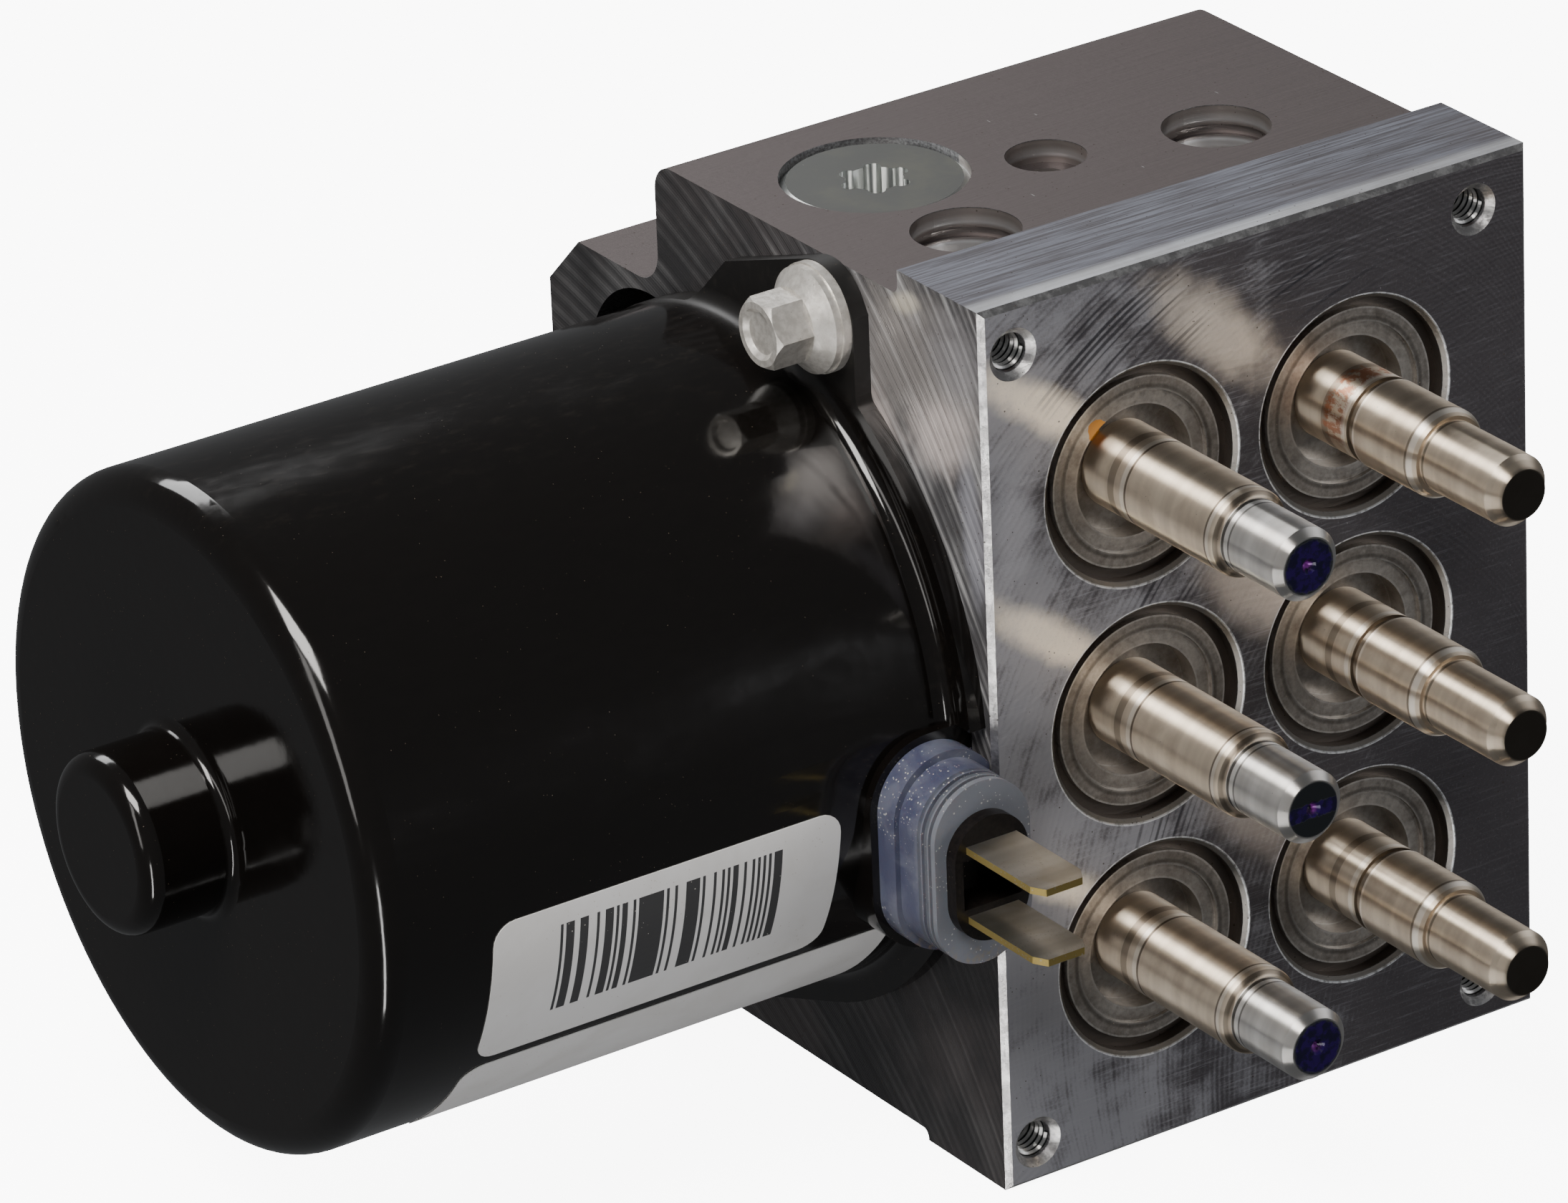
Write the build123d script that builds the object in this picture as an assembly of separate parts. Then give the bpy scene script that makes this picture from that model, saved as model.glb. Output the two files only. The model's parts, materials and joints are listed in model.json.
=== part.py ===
from build123d import *
import os
from math import atan2, cos, degrees, pi, radians, sin, sqrt

# Hydraulic brake module: an aluminium valve block with six solenoid valve stems on its
# front face and a pump motor on its side. The origin is the centre of the valve pattern
# on the valve face. X runs along the motor axis, away from the motor, the valve stems
# point to -Y, and Z is up. The motor axis lies at height zero.

# Valve block: a length of extruded bar whose section lies in the YZ plane
block_length = 70.0
pattern_to_motor_side = 33.4
axis_to_bottom = 50.1
axis_to_top = 50.9
flange_thickness = 14.7
top_step = 2.7
bottom_step = 1.2
body_depth = 60.0
ledge_depth = 82.0
ledge_below_top = 17.3
ledge_chamfer = 6.2
back_corner_radius = 3.2
ledge_root_radius = 4.0
step_root_radius = 1.0
front_edge_bevel = 0.6

# Valve pattern and its bores
valve_pitch_x = 27.4
valve_pitch_z = 27.4
recess_radius = 11.9
recess_depth = 1.9
recess_bevel = 0.5
collar_radius = 10.6
collar_depth = 1.1
collar_step_radius = 9.0
collar_step_drop = 0.4
well_radius = 7.3
well_depth = 4.0
collar_seat_depth = 6.2
valve_body_radius = 6.8
valve_body_depth = 17.0
valve_nose_radius = 3.6
valve_nose_depth = 20.0
stem_seat_depth = 8.6

# Stems of the outlet valves, the column beside the motor
stem_reach = 28.5
sleeve_radius = 4.85
sleeve_reach = 18.8
sleeve_end_round = 0.8
core_radius = 4.0
core_end_radius = 3.2
core_end_chamfer = 0.8
core_inner_reach = 6.0
centre_mark_radius = 0.9
centre_mark_depth = 0.8

# Stems of the inlet valves, the far column
shell_neck_radius = 4.85
shell_groove_radius = 4.45
shell_groove_reach = 4.9
shell_groove_width = 0.8
shell_radius = 4.95
shell_shoulder_reach = 15.2
shell_shoulder_radius = 4.4
shell_shoulder_length = 1.0
shell_tip_radius = 3.95
shell_tip_chamfer = 0.5
shell_crown_radius = 2.8
shell_wall = 0.75
shell_end_wall = 1.5
pole_reach = 14.4

# Moving parts of the valves
guide_clearance = 0.05
valve_stroke = 0.4
stroke_spare = 0.1
rod_radius = 1.1
seat_depth = 14.0
seat_hole_radius = 0.6
spring_pocket_radius = 2.3
spring_pocket_length = 5.0
valve_spring_radius = 1.7
valve_spring_wire = 0.4

# Threaded holes on the valve face for the coil housing
face_screw_span_x = 58.9
face_screw_span_z = 90.8
face_screw_hole_radius = 2.1
face_screw_hole_depth = 11.0
face_screw_mouth_radius = 2.9

# Ports on the top face
front_port_x = 15.1
front_port_y = 24.0
back_port_x = 51.6
back_port_y = 29.8
port_radius = 5.9
port_depth = 11.0
port_cone = 2.0
port_groove_radius = 6.4
port_groove_depth = 2.2
port_groove_width = 1.2
port_drill_radius = 1.8
port_drill_depth = 2.6
small_port_x = 33.0
small_port_y = 34.8
small_port_radius = 4.4
small_port_depth = 2.6
small_port_inner_radius = 2.6
small_port_inner_depth = 9.0
side_port_pitch = 24.0
side_port_y = 38.0

# Pocket beside the motor in the motor side of the block
pocket_radius = 12.4
pocket_y = 62.0
pocket_z = 19.8
pocket_depth = 14.0

# Motor
motor_axis_y = 42.0
can_radius = 37.0
can_wall = 1.8
can_length = 72.2
can_corner_radius = 3.5
boss_radius = 9.9
boss_length = 10.5
boss_corner_radius = 2.1
boss_root_radius = 1.2
mount_plate_radius = 40.8
mount_plate_thickness = 2.0
mount_plate_root_radius = 1.8
ear_radius = 6.1
ear_root_radius = 1.5
tab_corner_offset_y = 1.7
tab_corner_offset_z = 40.7
tab_corner_radius = 1.3
pocket_relief_side = 31.3
pocket_relief_gap = 0.2
pocket_relief_root_radius = 2.0
motor_bolt_offset_y = -15.7
motor_bolt_offset_z = 42.4

# Motor bolts with captive washers
bolt_radius = 2.5
bolt_hole_depth = 7.5
bolt_end_gap = 0.5
bolt_flange_radius = 5.8
bolt_flange_rim = 0.8
bolt_flange_thickness = 2.4
bolt_flange_cone_radius = 4.0
bolt_hex_across_flats = 7.0
bolt_head_height = 6.7
bolt_cup_radius = 2.8
bolt_cup_depth = 0.5
washer_radius = 6.0
washer_thickness = 1.0

# Motor inside
end_plate_thickness = 1.8
pilot_radius = 12.5
pilot_length = 7.6
pilot_lip = 0.5
pilot_lip_radius = 10.0
bearing_outer_radius = 11.0
bearing_bore_radius = 4.0
bearing_width = 7.0
bearing_ring_wall = 2.0
bearing_ball_radius = 1.8
bearing_ball_gap = 0.3
bearing_ball_count = 7
bearing_cage_radius = 8.3
bearing_cage_wall = 1.6
bearing_cage_width = 5.0
seal_inner_radius = 13.1
seal_outer_radius = 14.7
seal_thickness = 1.2
magnet_thickness = 6.6
magnet_start = 22.0
magnet_length = 40.0
magnet_angle = 74.0
air_gap = 0.7
rotor_core_start = 26.0
rotor_core_length = 32.0
rotor_slot_count = 10
rotor_slot_width = 4.2
rotor_slot_bottom_radius = 13.0
winding_overhang = 5.5
winding_clearance = 0.2
winding_inner_radius = 11.0
winding_outer_radius = 23.4
commutator_radius = 9.0
commutator_start = 5.5
commutator_length = 12.0
brush_width = 5.0
brush_height = 7.0
brush_length = 11.0
brush_gap = 0.3
brush_start = 8.0
brush_box_wall = 1.0
brush_box_length = 16.0
brush_card_start = 16.5
brush_card_thickness = 1.8
brush_card_hole_radius = 11.0
brush_spring_radius = 2.0
brush_spring_wire = 0.5
rear_bush_length = 7.6
shaft_clearance = 0.03
shaft_end_gap = 0.7

# Pump: an eccentric journal between two opposed pistons
pump_x = 16.0
eccentric_offset = 0.8
eccentric_radius = 5.4
eccentric_width = 8.0
roller_ring_radius = 9.3
chamber_radius = 10.8
chamber_depth = 25.0
shaft_front_gap = 2.0
piston_radius = 4.2
piston_length = 13.0
piston_spigot_radius = 2.2
piston_spigot_length = 2.4
piston_gap = 0.1
piston_guide_end = 23.0
pump_bore_radius = 7.2
plug_radius = 10.2
plug_head_thickness = 7.5
plug_below_face = 0.4
plug_skirt_length = 4.0
plug_chamfer = 0.8
plug_socket_radius = 3.1
plug_lobe_radius = 0.95
plug_socket_depth = 4.0
pump_spring_radius = 2.9
pump_spring_wire = 0.9

# Low pressure accumulators, in from the back of the ledge
accumulator_x = 50.0
accumulator_offset_z = 13.0
accumulator_radius = 9.0
accumulator_depth = 30.0
accumulator_piston_length = 9.0
accumulator_piston_cup = 6.0
accumulator_cup_radius = 6.6
accumulator_end_gap = 0.5
accumulator_cover_thickness = 2.6
accumulator_cover_below_face = 0.8
accumulator_cover_dish_radius = 6.4
accumulator_cover_dish = 1.2
accumulator_spring_radius = 5.2
accumulator_spring_wire = 1.1

# Electrical connection in the side of the can
terminal_x = 5.5
terminal_z = -8.3
grommet_width = 13.2
grommet_height = 22.6
grommet_stand = 4.0
grommet_pad_thickness = 3.0
grommet_block_gap = 0.2
opening_lip_width = 0.9
grommet_collar_width = 12.0
grommet_collar_height = 20.8
grommet_collar_length = 6.4
grommet_neck_width = 11.4
grommet_neck_height = 18.0
grommet_lip_thickness = 1.4
grommet_rib_pitch = 1.2
grommet_rib_groove = 0.5
insert_width = 9.2
insert_height = 14.2
insert_proud = 1.6
insert_inner_y = 12.0
insert_window_width = 7.2
insert_window_height = 5.6
insert_window_depth = 4.0
blade_width = 6.3
blade_thickness = 0.8
blade_pitch = 8.0
blade_reach = 12.9
blade_inner_y = 14.0
blade_tip_chamfer = 0.9
blade_tip_chamfer_length = 1.6

# Places worked out from the sizes above
motor_side = -pattern_to_motor_side
far_side = block_length - pattern_to_motor_side
block_bottom = -axis_to_bottom
block_top = axis_to_top
body_top = block_top - top_step
body_bottom = block_bottom + bottom_step
ledge_top = block_top - ledge_below_top
boss_reach = can_length + boss_length
can_inner_radius = can_radius - can_wall
grommet_face_y = motor_axis_y - can_radius - grommet_stand
opening_lip_y = grommet_face_y + grommet_pad_thickness
magnet_inner_radius = can_inner_radius - magnet_thickness
rotor_core_radius = magnet_inner_radius - air_gap
roller_sweep = roller_ring_radius + eccentric_offset
piston_rest = roller_sweep + piston_gap + eccentric_offset
plug_top = body_top - plug_below_face
plug_skirt_z = plug_top - plug_head_thickness - plug_skirt_length
pump_centre_x = motor_side + pump_x
insert_face_y = grommet_face_y - grommet_collar_length - insert_proud
rows = {"upper": valve_pitch_z, "middle": 0.0, "lower": -valve_pitch_z}
outlet_x = -valve_pitch_x / 2
inlet_x = valve_pitch_x / 2


def save(name, shape):
    """Write one node."""
    shape.label = name
    export_step(shape, f"parts/{name}.step")


def turned(points, corners=()):
    """Revolve an outline of (distance along X, radius) points about the X axis."""
    face = make_face(Polyline(*points, close=True))
    for place, radius in corners:
        corner = face.vertices().sort_by_distance((*place, 0))[0]
        face = fillet(corner, radius)
    return revolve(face, Axis.X)


def on_motor_axis(shape):
    """Place a piece that was turned with its distances measured from the block's motor side,
    positive away from the block."""
    return Pos(motor_side, motor_axis_y, 0) * (Rot(0, 0, 180) * shape)


def into_face(shape, x, z):
    """Place a piece that was turned with its distances measured into the valve face."""
    return Pos(x, 0, z) * (Rot(0, 0, 90) * shape)


def drilled(radius, start, end):
    """A plain cylinder along X between two distances."""
    return Pos((start + end) / 2, 0, 0) * (Rot(0, 90, 0) * Cylinder(radius, end - start))


def coil(radius, wire, length, turns):
    """A compression spring along +Z, with its wire inside the stated length."""
    rise = length - wire
    path = Helix(rise / turns, rise, radius)
    section = Plane(path @ 0, z_dir=path % 0) * RegularPolygon(wire / 2, 6)
    return Pos(0, 0, wire / 2) * sweep(section, path, is_frenet=True)


def obround(width, height, y_from, y_to):
    """A prism along Y with round ends, standing upright, at the terminal."""
    outline = SlotOverall(height, width, rotation=90)
    prism = extrude(outline, y_to - y_from)
    return Pos(motor_side - terminal_x, y_to, terminal_z) * (Rot(90, 0, 0) * prism)


def open_notch(width, height, y_from, y_to):
    """The same prism carried on to the face of the block."""
    middle = Pos(motor_side - terminal_x / 2, (y_from + y_to) / 2, terminal_z)
    return obround(width, height, y_from, y_to) + middle * Box(terminal_x, y_to - y_from, height)


def beside_can():
    """The room that the block takes beside the terminal."""
    room = Box(grommet_height, motor_axis_y + grommet_block_gap, 2 * grommet_height)
    middle_y = (motor_axis_y - grommet_block_gap) / 2
    return Pos(motor_side + grommet_height / 2, middle_y, terminal_z) * room


def face_screw_places():
    """The four corners of the screw pattern on the valve face."""
    for side in (-1, 1):
        for end in (-1, 1):
            yield side * face_screw_span_x / 2, end * face_screw_span_z / 2


def motor_bolt_places():
    """The two ears are half a turn apart about the motor axis."""
    for turn in (1, -1):
        yield motor_axis_y + turn * motor_bolt_offset_y, turn * motor_bolt_offset_z


def block_section():
    outline = [
        (0, block_bottom),
        (flange_thickness, block_bottom),
        (flange_thickness, body_bottom),
        (ledge_depth - ledge_chamfer, body_bottom),
        (ledge_depth, body_bottom + ledge_chamfer),
        (ledge_depth, ledge_top - ledge_chamfer),
        (ledge_depth - ledge_chamfer, ledge_top),
        (body_depth, ledge_top),
        (body_depth, body_top),
        (flange_thickness, body_top),
        (flange_thickness, block_top),
        (0, block_top),
    ]
    rounds = [
        ((body_depth, ledge_top), ledge_root_radius),
        ((body_depth, body_top), back_corner_radius),
        ((flange_thickness, body_top), step_root_radius),
        ((flange_thickness, body_bottom), step_root_radius),
    ]
    face = make_face(Polyline(*outline, close=True))
    for place, radius in rounds:
        corner = face.vertices().sort_by_distance((*place, 0))[0]
        face = fillet(corner, radius)
    return Plane((motor_side, 0, 0), x_dir=(0, 1, 0), z_dir=(1, 0, 0)) * face


def valve_bore():
    """Recess, seat of the collar and stepped bore, as one cutting tool."""
    return turned([
        (0, 0),
        (0, recess_radius + recess_bevel),
        (recess_bevel, recess_radius),
        (recess_depth, recess_radius),
        (recess_depth, collar_radius),
        (collar_seat_depth, collar_radius),
        (collar_seat_depth, valve_body_radius),
        (valve_body_depth, valve_body_radius),
        (valve_body_depth, valve_nose_radius),
        (valve_nose_depth, valve_nose_radius),
        (valve_nose_depth, 0),
    ])


def face_screw_hole():
    mouth = face_screw_mouth_radius - face_screw_hole_radius
    return turned([
        (0, 0),
        (0, face_screw_mouth_radius),
        (mouth, face_screw_hole_radius),
        (face_screw_hole_depth, face_screw_hole_radius),
        (face_screw_hole_depth + face_screw_hole_radius / 2, 0),
    ])


def port():
    """Port for a pipe: a bore with a groove near its mouth and a drilling beyond it."""
    return turned([
        (0, 0),
        (0, port_radius),
        (port_groove_depth, port_radius),
        (port_groove_depth, port_groove_radius),
        (port_groove_depth + port_groove_width, port_groove_radius),
        (port_groove_depth + port_groove_width, port_radius),
        (port_depth - port_cone, port_radius),
        (port_depth, port_drill_radius),
        (port_depth + port_drill_depth, port_drill_radius),
        (port_depth + port_drill_depth, 0),
    ])


def small_port():
    return turned([
        (0, 0),
        (0, small_port_radius),
        (small_port_depth, small_port_radius),
        (small_port_depth, small_port_inner_radius),
        (small_port_inner_depth, small_port_inner_radius),
        (small_port_inner_depth + small_port_inner_radius / 2, 0),
    ])


def pump_bore():
    """Bore of the upper pump element, cut upwards from the motor axis."""
    return turned([
        (0, 0),
        (0, piston_radius + guide_clearance),
        (piston_guide_end, piston_radius + guide_clearance),
        (piston_guide_end, pump_bore_radius),
        (plug_top - plug_head_thickness, pump_bore_radius),
        (plug_top - plug_head_thickness, plug_radius),
        (block_top + top_step, plug_radius),
        (block_top + top_step, 0),
    ])


def make_valve_block():
    block = extrude(block_section(), block_length)
    front_edges = block.edges().filter_by_position(Axis.Y, -0.01, 0.01)
    block = chamfer(front_edges, front_edge_bevel)
    cuts = []
    for x in (outlet_x, inlet_x):
        cuts += [into_face(valve_bore(), x, z) for z in rows.values()]
    cuts += [into_face(face_screw_hole(), x, z) for x, z in face_screw_places()]
    down = Rot(0, 90, 0)
    for x, y in ((front_port_x, front_port_y), (back_port_x, back_port_y)):
        cuts.append(Pos(motor_side + x, y, body_top) * (down * port()))
    cuts.append(Pos(motor_side + small_port_x, small_port_y, body_top) * (down * small_port()))
    for step in (-1, 0, 1):
        cuts.append(Pos(far_side, side_port_y, step * side_port_pitch) * (Rot(0, 0, 180) * port()))
    up = Rot(0, -90, 0)
    upper_bore = Pos(pump_centre_x, motor_axis_y, 0) * (up * pump_bore())
    cuts += [upper_bore, mirror(upper_bore, Plane.XY)]
    cuts.append(Pos(motor_side, motor_axis_y, 0) * drilled(chamber_radius, 0, chamber_depth))
    cuts.append(Pos(motor_side, motor_axis_y, 0) * drilled(pilot_radius, 0, pilot_length))
    groove = drilled(seal_outer_radius, 0, seal_thickness) - drilled(seal_inner_radius, 0, seal_thickness)
    cuts.append(Pos(motor_side, motor_axis_y, 0) * groove)
    cuts.append(Pos(motor_side, pocket_y, pocket_z) * drilled(pocket_radius, 0, pocket_depth))
    for y, z in motor_bolt_places():
        cuts.append(Pos(motor_side, y, z) * drilled(bolt_radius, 0, bolt_hole_depth))
    for turn in (-1, 1):
        bore = drilled(accumulator_radius, ledge_depth - accumulator_depth, ledge_depth)
        cuts.append(Pos(motor_side + accumulator_x, 0, turn * accumulator_offset_z) * (Rot(0, 0, 90) * bore))
    for cut in cuts:
        block -= cut
    save("valve_block", block)


def mount_plate_outline():
    """Round plate with two ears half a turn apart. One side of each ear runs straight up from
    the round plate, and a wide tab runs from its other side to a rounded corner."""
    disc = Circle(mount_plate_radius)
    ear_end = Pos(motor_bolt_offset_y, motor_bolt_offset_z) * Circle(ear_radius)
    tab_corner = Pos(tab_corner_offset_y, tab_corner_offset_z) * Circle(tab_corner_radius)
    hull = make_hull([*disc.edges(), *ear_end.edges(), *tab_corner.edges()])
    ear_side = motor_bolt_offset_y - ear_radius
    keep = Pos(ear_side + mount_plate_radius, mount_plate_radius) * Rectangle(
        2 * mount_plate_radius, 2 * mount_plate_radius)
    ear = hull & keep
    outline = disc + ear + Rot(0, 0, 180) * ear
    root = sqrt(mount_plate_radius**2 - ear_side**2)
    for turn in (1, -1):
        corner = outline.vertices().sort_by_distance((turn * ear_side, turn * root, 0))[0]
        outline = fillet(corner, ear_root_radius)
    return outline


def pocket_relief():
    """Where the plate is cut back to the can, beside the pocket in the block."""
    depth = 2 * mount_plate_radius
    relief = Pos(pocket_relief_side + depth / 2, 0) * Rectangle(depth, 2 * depth)
    relief -= Circle(can_radius + pocket_relief_gap)
    corners = relief.vertices().group_by(Axis.X)[0]
    relief = fillet(corners.sort_by(Axis.Y)[1:-1], pocket_relief_root_radius)
    toward_pocket = degrees(atan2(pocket_z, pocket_y - motor_axis_y))
    return Rot(0, 0, toward_pocket) * relief


def make_motor_can():
    plate_end = mount_plate_root_radius + mount_plate_thickness
    foot_radius = can_radius + mount_plate_root_radius + can_wall / 4
    can = turned([
        (0, can_inner_radius),
        (0, foot_radius),
        (mount_plate_thickness, foot_radius),
        (mount_plate_thickness, can_radius),
        (can_length, can_radius),
        (can_length, boss_radius),
        (boss_reach, boss_radius),
        (boss_reach, 0),
        (boss_reach - can_wall, 0),
        (boss_reach - can_wall, boss_radius - can_wall),
        (can_length - can_wall, boss_radius - can_wall),
        (can_length - can_wall, can_inner_radius),
    ], [
        ((mount_plate_thickness, can_radius), mount_plate_root_radius),
        ((can_length, can_radius), can_corner_radius),
        ((can_length - can_wall, can_inner_radius), can_corner_radius - can_wall),
        ((boss_reach, boss_radius), boss_corner_radius),
        ((can_length, boss_radius), boss_root_radius),
    ])
    can = on_motor_axis(can)
    plate_plane = Plane((motor_side, motor_axis_y, 0), x_dir=(0, 1, 0), z_dir=(1, 0, 0))
    plate = extrude(plate_plane * mount_plate_outline(), -mount_plate_thickness)
    plate -= Pos(motor_side, motor_axis_y, 0) * drilled(can_inner_radius, -plate_end, plate_end)
    can += plate
    can -= extrude(plate_plane * pocket_relief(), -plate_end)
    for y, z in motor_bolt_places():
        can -= Pos(motor_side, y, z) * drilled(bolt_radius, -plate_end, plate_end)
    lip_width = grommet_width + 2 * opening_lip_width
    lip_height = grommet_height + 2 * opening_lip_width
    can -= open_notch(lip_width, lip_height, motor_axis_y - 2 * mount_plate_radius, opening_lip_y)
    lip = open_notch(lip_width, lip_height, opening_lip_y, motor_axis_y) - beside_can()
    can += lip - Pos(motor_side, motor_axis_y, 0) * drilled(can_radius - can_wall / 2, -can_length, can_length)
    can -= open_notch(grommet_neck_width, grommet_neck_height, opening_lip_y, motor_axis_y)
    save("motor_can", can)


def make_motor_end_plate():
    """Cover of the open end of the can, with a pilot that holds the front bearing."""
    plate = turned([
        (0, pilot_radius),
        (-pilot_length, pilot_radius),
        (-pilot_length, pilot_lip_radius),
        (-pilot_length + pilot_lip, pilot_lip_radius),
        (-pilot_length + pilot_lip, bearing_outer_radius),
        (end_plate_thickness, bearing_outer_radius),
        (end_plate_thickness, can_inner_radius),
        (0, can_inner_radius),
    ])
    save("motor_end_plate", on_motor_axis(plate))


def make_motor_bolts():
    head_start = mount_plate_thickness + washer_thickness
    cone_end = head_start + bolt_flange_thickness
    hex_length = bolt_head_height - bolt_flange_thickness
    bolts = []
    washers = []
    for y, z in motor_bolt_places():
        shank = turned([
            (bolt_end_gap - bolt_hole_depth, 0),
            (bolt_end_gap - bolt_hole_depth, bolt_radius),
            (head_start, bolt_radius),
            (head_start, bolt_flange_radius),
            (head_start + bolt_flange_rim, bolt_flange_radius),
            (cone_end, bolt_flange_cone_radius),
            (cone_end, 0),
        ])
        flats = RegularPolygon(bolt_hex_across_flats / 2, 6, major_radius=False)
        head = extrude(Plane((cone_end, 0, 0), x_dir=(0, 1, 0), z_dir=(1, 0, 0)) * flats, hex_length)
        crown = turned([
            (cone_end, 0),
            (cone_end, bolt_hex_across_flats),
            (cone_end + hex_length - bolt_hex_across_flats / 2, bolt_hex_across_flats),
            (cone_end + hex_length, bolt_hex_across_flats / 2),
            (cone_end + hex_length, bolt_cup_radius),
            (cone_end + hex_length - bolt_cup_depth, bolt_cup_radius - bolt_cup_depth),
            (cone_end + hex_length - bolt_cup_depth, 0),
        ])
        place = Pos(motor_side, y, z) * Rot(0, 0, 180)
        bolts.append(place * (shank + (head & crown)))
        ring = drilled(washer_radius, mount_plate_thickness, head_start)
        ring -= drilled(bolt_radius, mount_plate_thickness, head_start)
        washers.append(place * ring)
    save("motor_bolts", Compound(children=bolts))
    save("motor_bolt_washers", Compound(children=washers))


def make_motor_seal():
    ring = drilled(seal_outer_radius, -seal_thickness, 0) - drilled(seal_inner_radius, -seal_thickness, 0)
    save("motor_seal", on_motor_axis(ring))


def make_field_magnets():
    half = magnet_angle / 2
    magnets = []
    for quarter in range(4):
        middle = 90 * quarter + 45
        sector = make_face(Polyline(
            (0, 0),
            (2 * can_radius * cos(radians(middle - half)), 2 * can_radius * sin(radians(middle - half))),
            (2 * can_radius * cos(radians(middle + half)), 2 * can_radius * sin(radians(middle + half))),
            close=True))
        ring = Circle(can_inner_radius) - Circle(magnet_inner_radius)
        plane = Plane((magnet_start, 0, 0), x_dir=(0, 1, 0), z_dir=(1, 0, 0))
        magnets.append(on_motor_axis(extrude(plane * (ring & sector), magnet_length)))
    save("field_magnets", Compound(children=magnets))


def make_brush_gear():
    """Card with two brush boxes above and below the commutator, and the brushes with their springs."""
    card = drilled(can_inner_radius, brush_card_start, brush_card_start + brush_card_thickness)
    card -= drilled(brush_card_hole_radius, brush_card_start, brush_card_start + brush_card_thickness)
    brush_inner = commutator_radius + brush_gap
    box_inner = brush_inner + brush_height / 3
    box_start = brush_start - brush_box_wall
    box_depth = brush_card_start - box_start
    brushes = []
    springs = []
    for turn in (1, -1):
        box = Pos(box_start + box_depth / 2, 0, turn * (box_inner + brush_box_length / 2)) * Box(
            box_depth, brush_width + 2 * brush_box_wall, brush_box_length)
        room = Pos(brush_start + brush_height / 2, 0, turn * (box_inner + (brush_box_length - brush_box_wall) / 2))
        box -= room * Box(brush_height, brush_width, brush_box_length - brush_box_wall)
        card += box
        block = Pos(brush_start + brush_height / 2, 0, turn * (brush_inner + brush_length / 2)) * Box(
            brush_height, brush_width, brush_length)
        commutator_round = drilled(brush_inner, brush_start, brush_start + brush_height)
        brushes.append(on_motor_axis(block - commutator_round))
        spring_length = box_inner + brush_box_length - brush_box_wall - brush_inner - brush_length
        spring = coil(brush_spring_radius, brush_spring_wire, spring_length, 2)
        seat = brush_inner + brush_length
        middle = brush_start + brush_height / 2
        up = Rot(0, 0, 0) if turn > 0 else Rot(180, 0, 0)
        springs.append(on_motor_axis(Pos(middle, 0, turn * seat) * (up * spring)))
    save("brush_card", on_motor_axis(card))
    save("carbon_brushes", Compound(children=brushes))
    save("brush_springs", Compound(children=springs))


def make_rear_bush():
    inside_end = boss_reach - can_wall
    bush = drilled(boss_radius - can_wall, inside_end - rear_bush_length, inside_end)
    bush -= drilled(bearing_bore_radius + shaft_clearance, inside_end - rear_bush_length, inside_end)
    save("rear_bush", on_motor_axis(bush))


def make_front_bearing():
    """Deep groove ball bearing in the pilot of the end plate. The cage carries the balls."""
    start = -pilot_length + pilot_lip
    middle = start + bearing_width / 2
    pitch = (bearing_outer_radius + bearing_bore_radius) / 2
    groove = Pos(middle, 0, 0) * (Rot(0, 90, 0) * Torus(pitch, bearing_ball_radius + bearing_ball_gap))
    outer = drilled(bearing_outer_radius, start, start + bearing_width)
    outer -= drilled(bearing_outer_radius - bearing_ring_wall, start, start + bearing_width)
    inner = drilled(bearing_bore_radius + bearing_ring_wall, start, start + bearing_width)
    inner -= drilled(bearing_bore_radius, start, start + bearing_width)
    cage = drilled(bearing_cage_radius, middle - bearing_cage_width / 2, middle + bearing_cage_width / 2)
    cage -= drilled(bearing_cage_radius - bearing_cage_wall,
                    middle - bearing_cage_width / 2, middle + bearing_cage_width / 2)
    balls = []
    for step in range(bearing_ball_count):
        angle = 2 * pi * step / bearing_ball_count
        ball = Pos(middle, pitch * cos(angle), pitch * sin(angle)) * Sphere(bearing_ball_radius)
        cage -= ball
        balls.append(on_motor_axis(ball))
    save("front_bearing_outer_ring", on_motor_axis(outer - groove))
    save("front_bearing_inner_ring", on_motor_axis(inner - groove))
    save("front_bearing_cage", on_motor_axis(cage))
    save("front_bearing_balls", Compound(children=balls))


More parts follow.
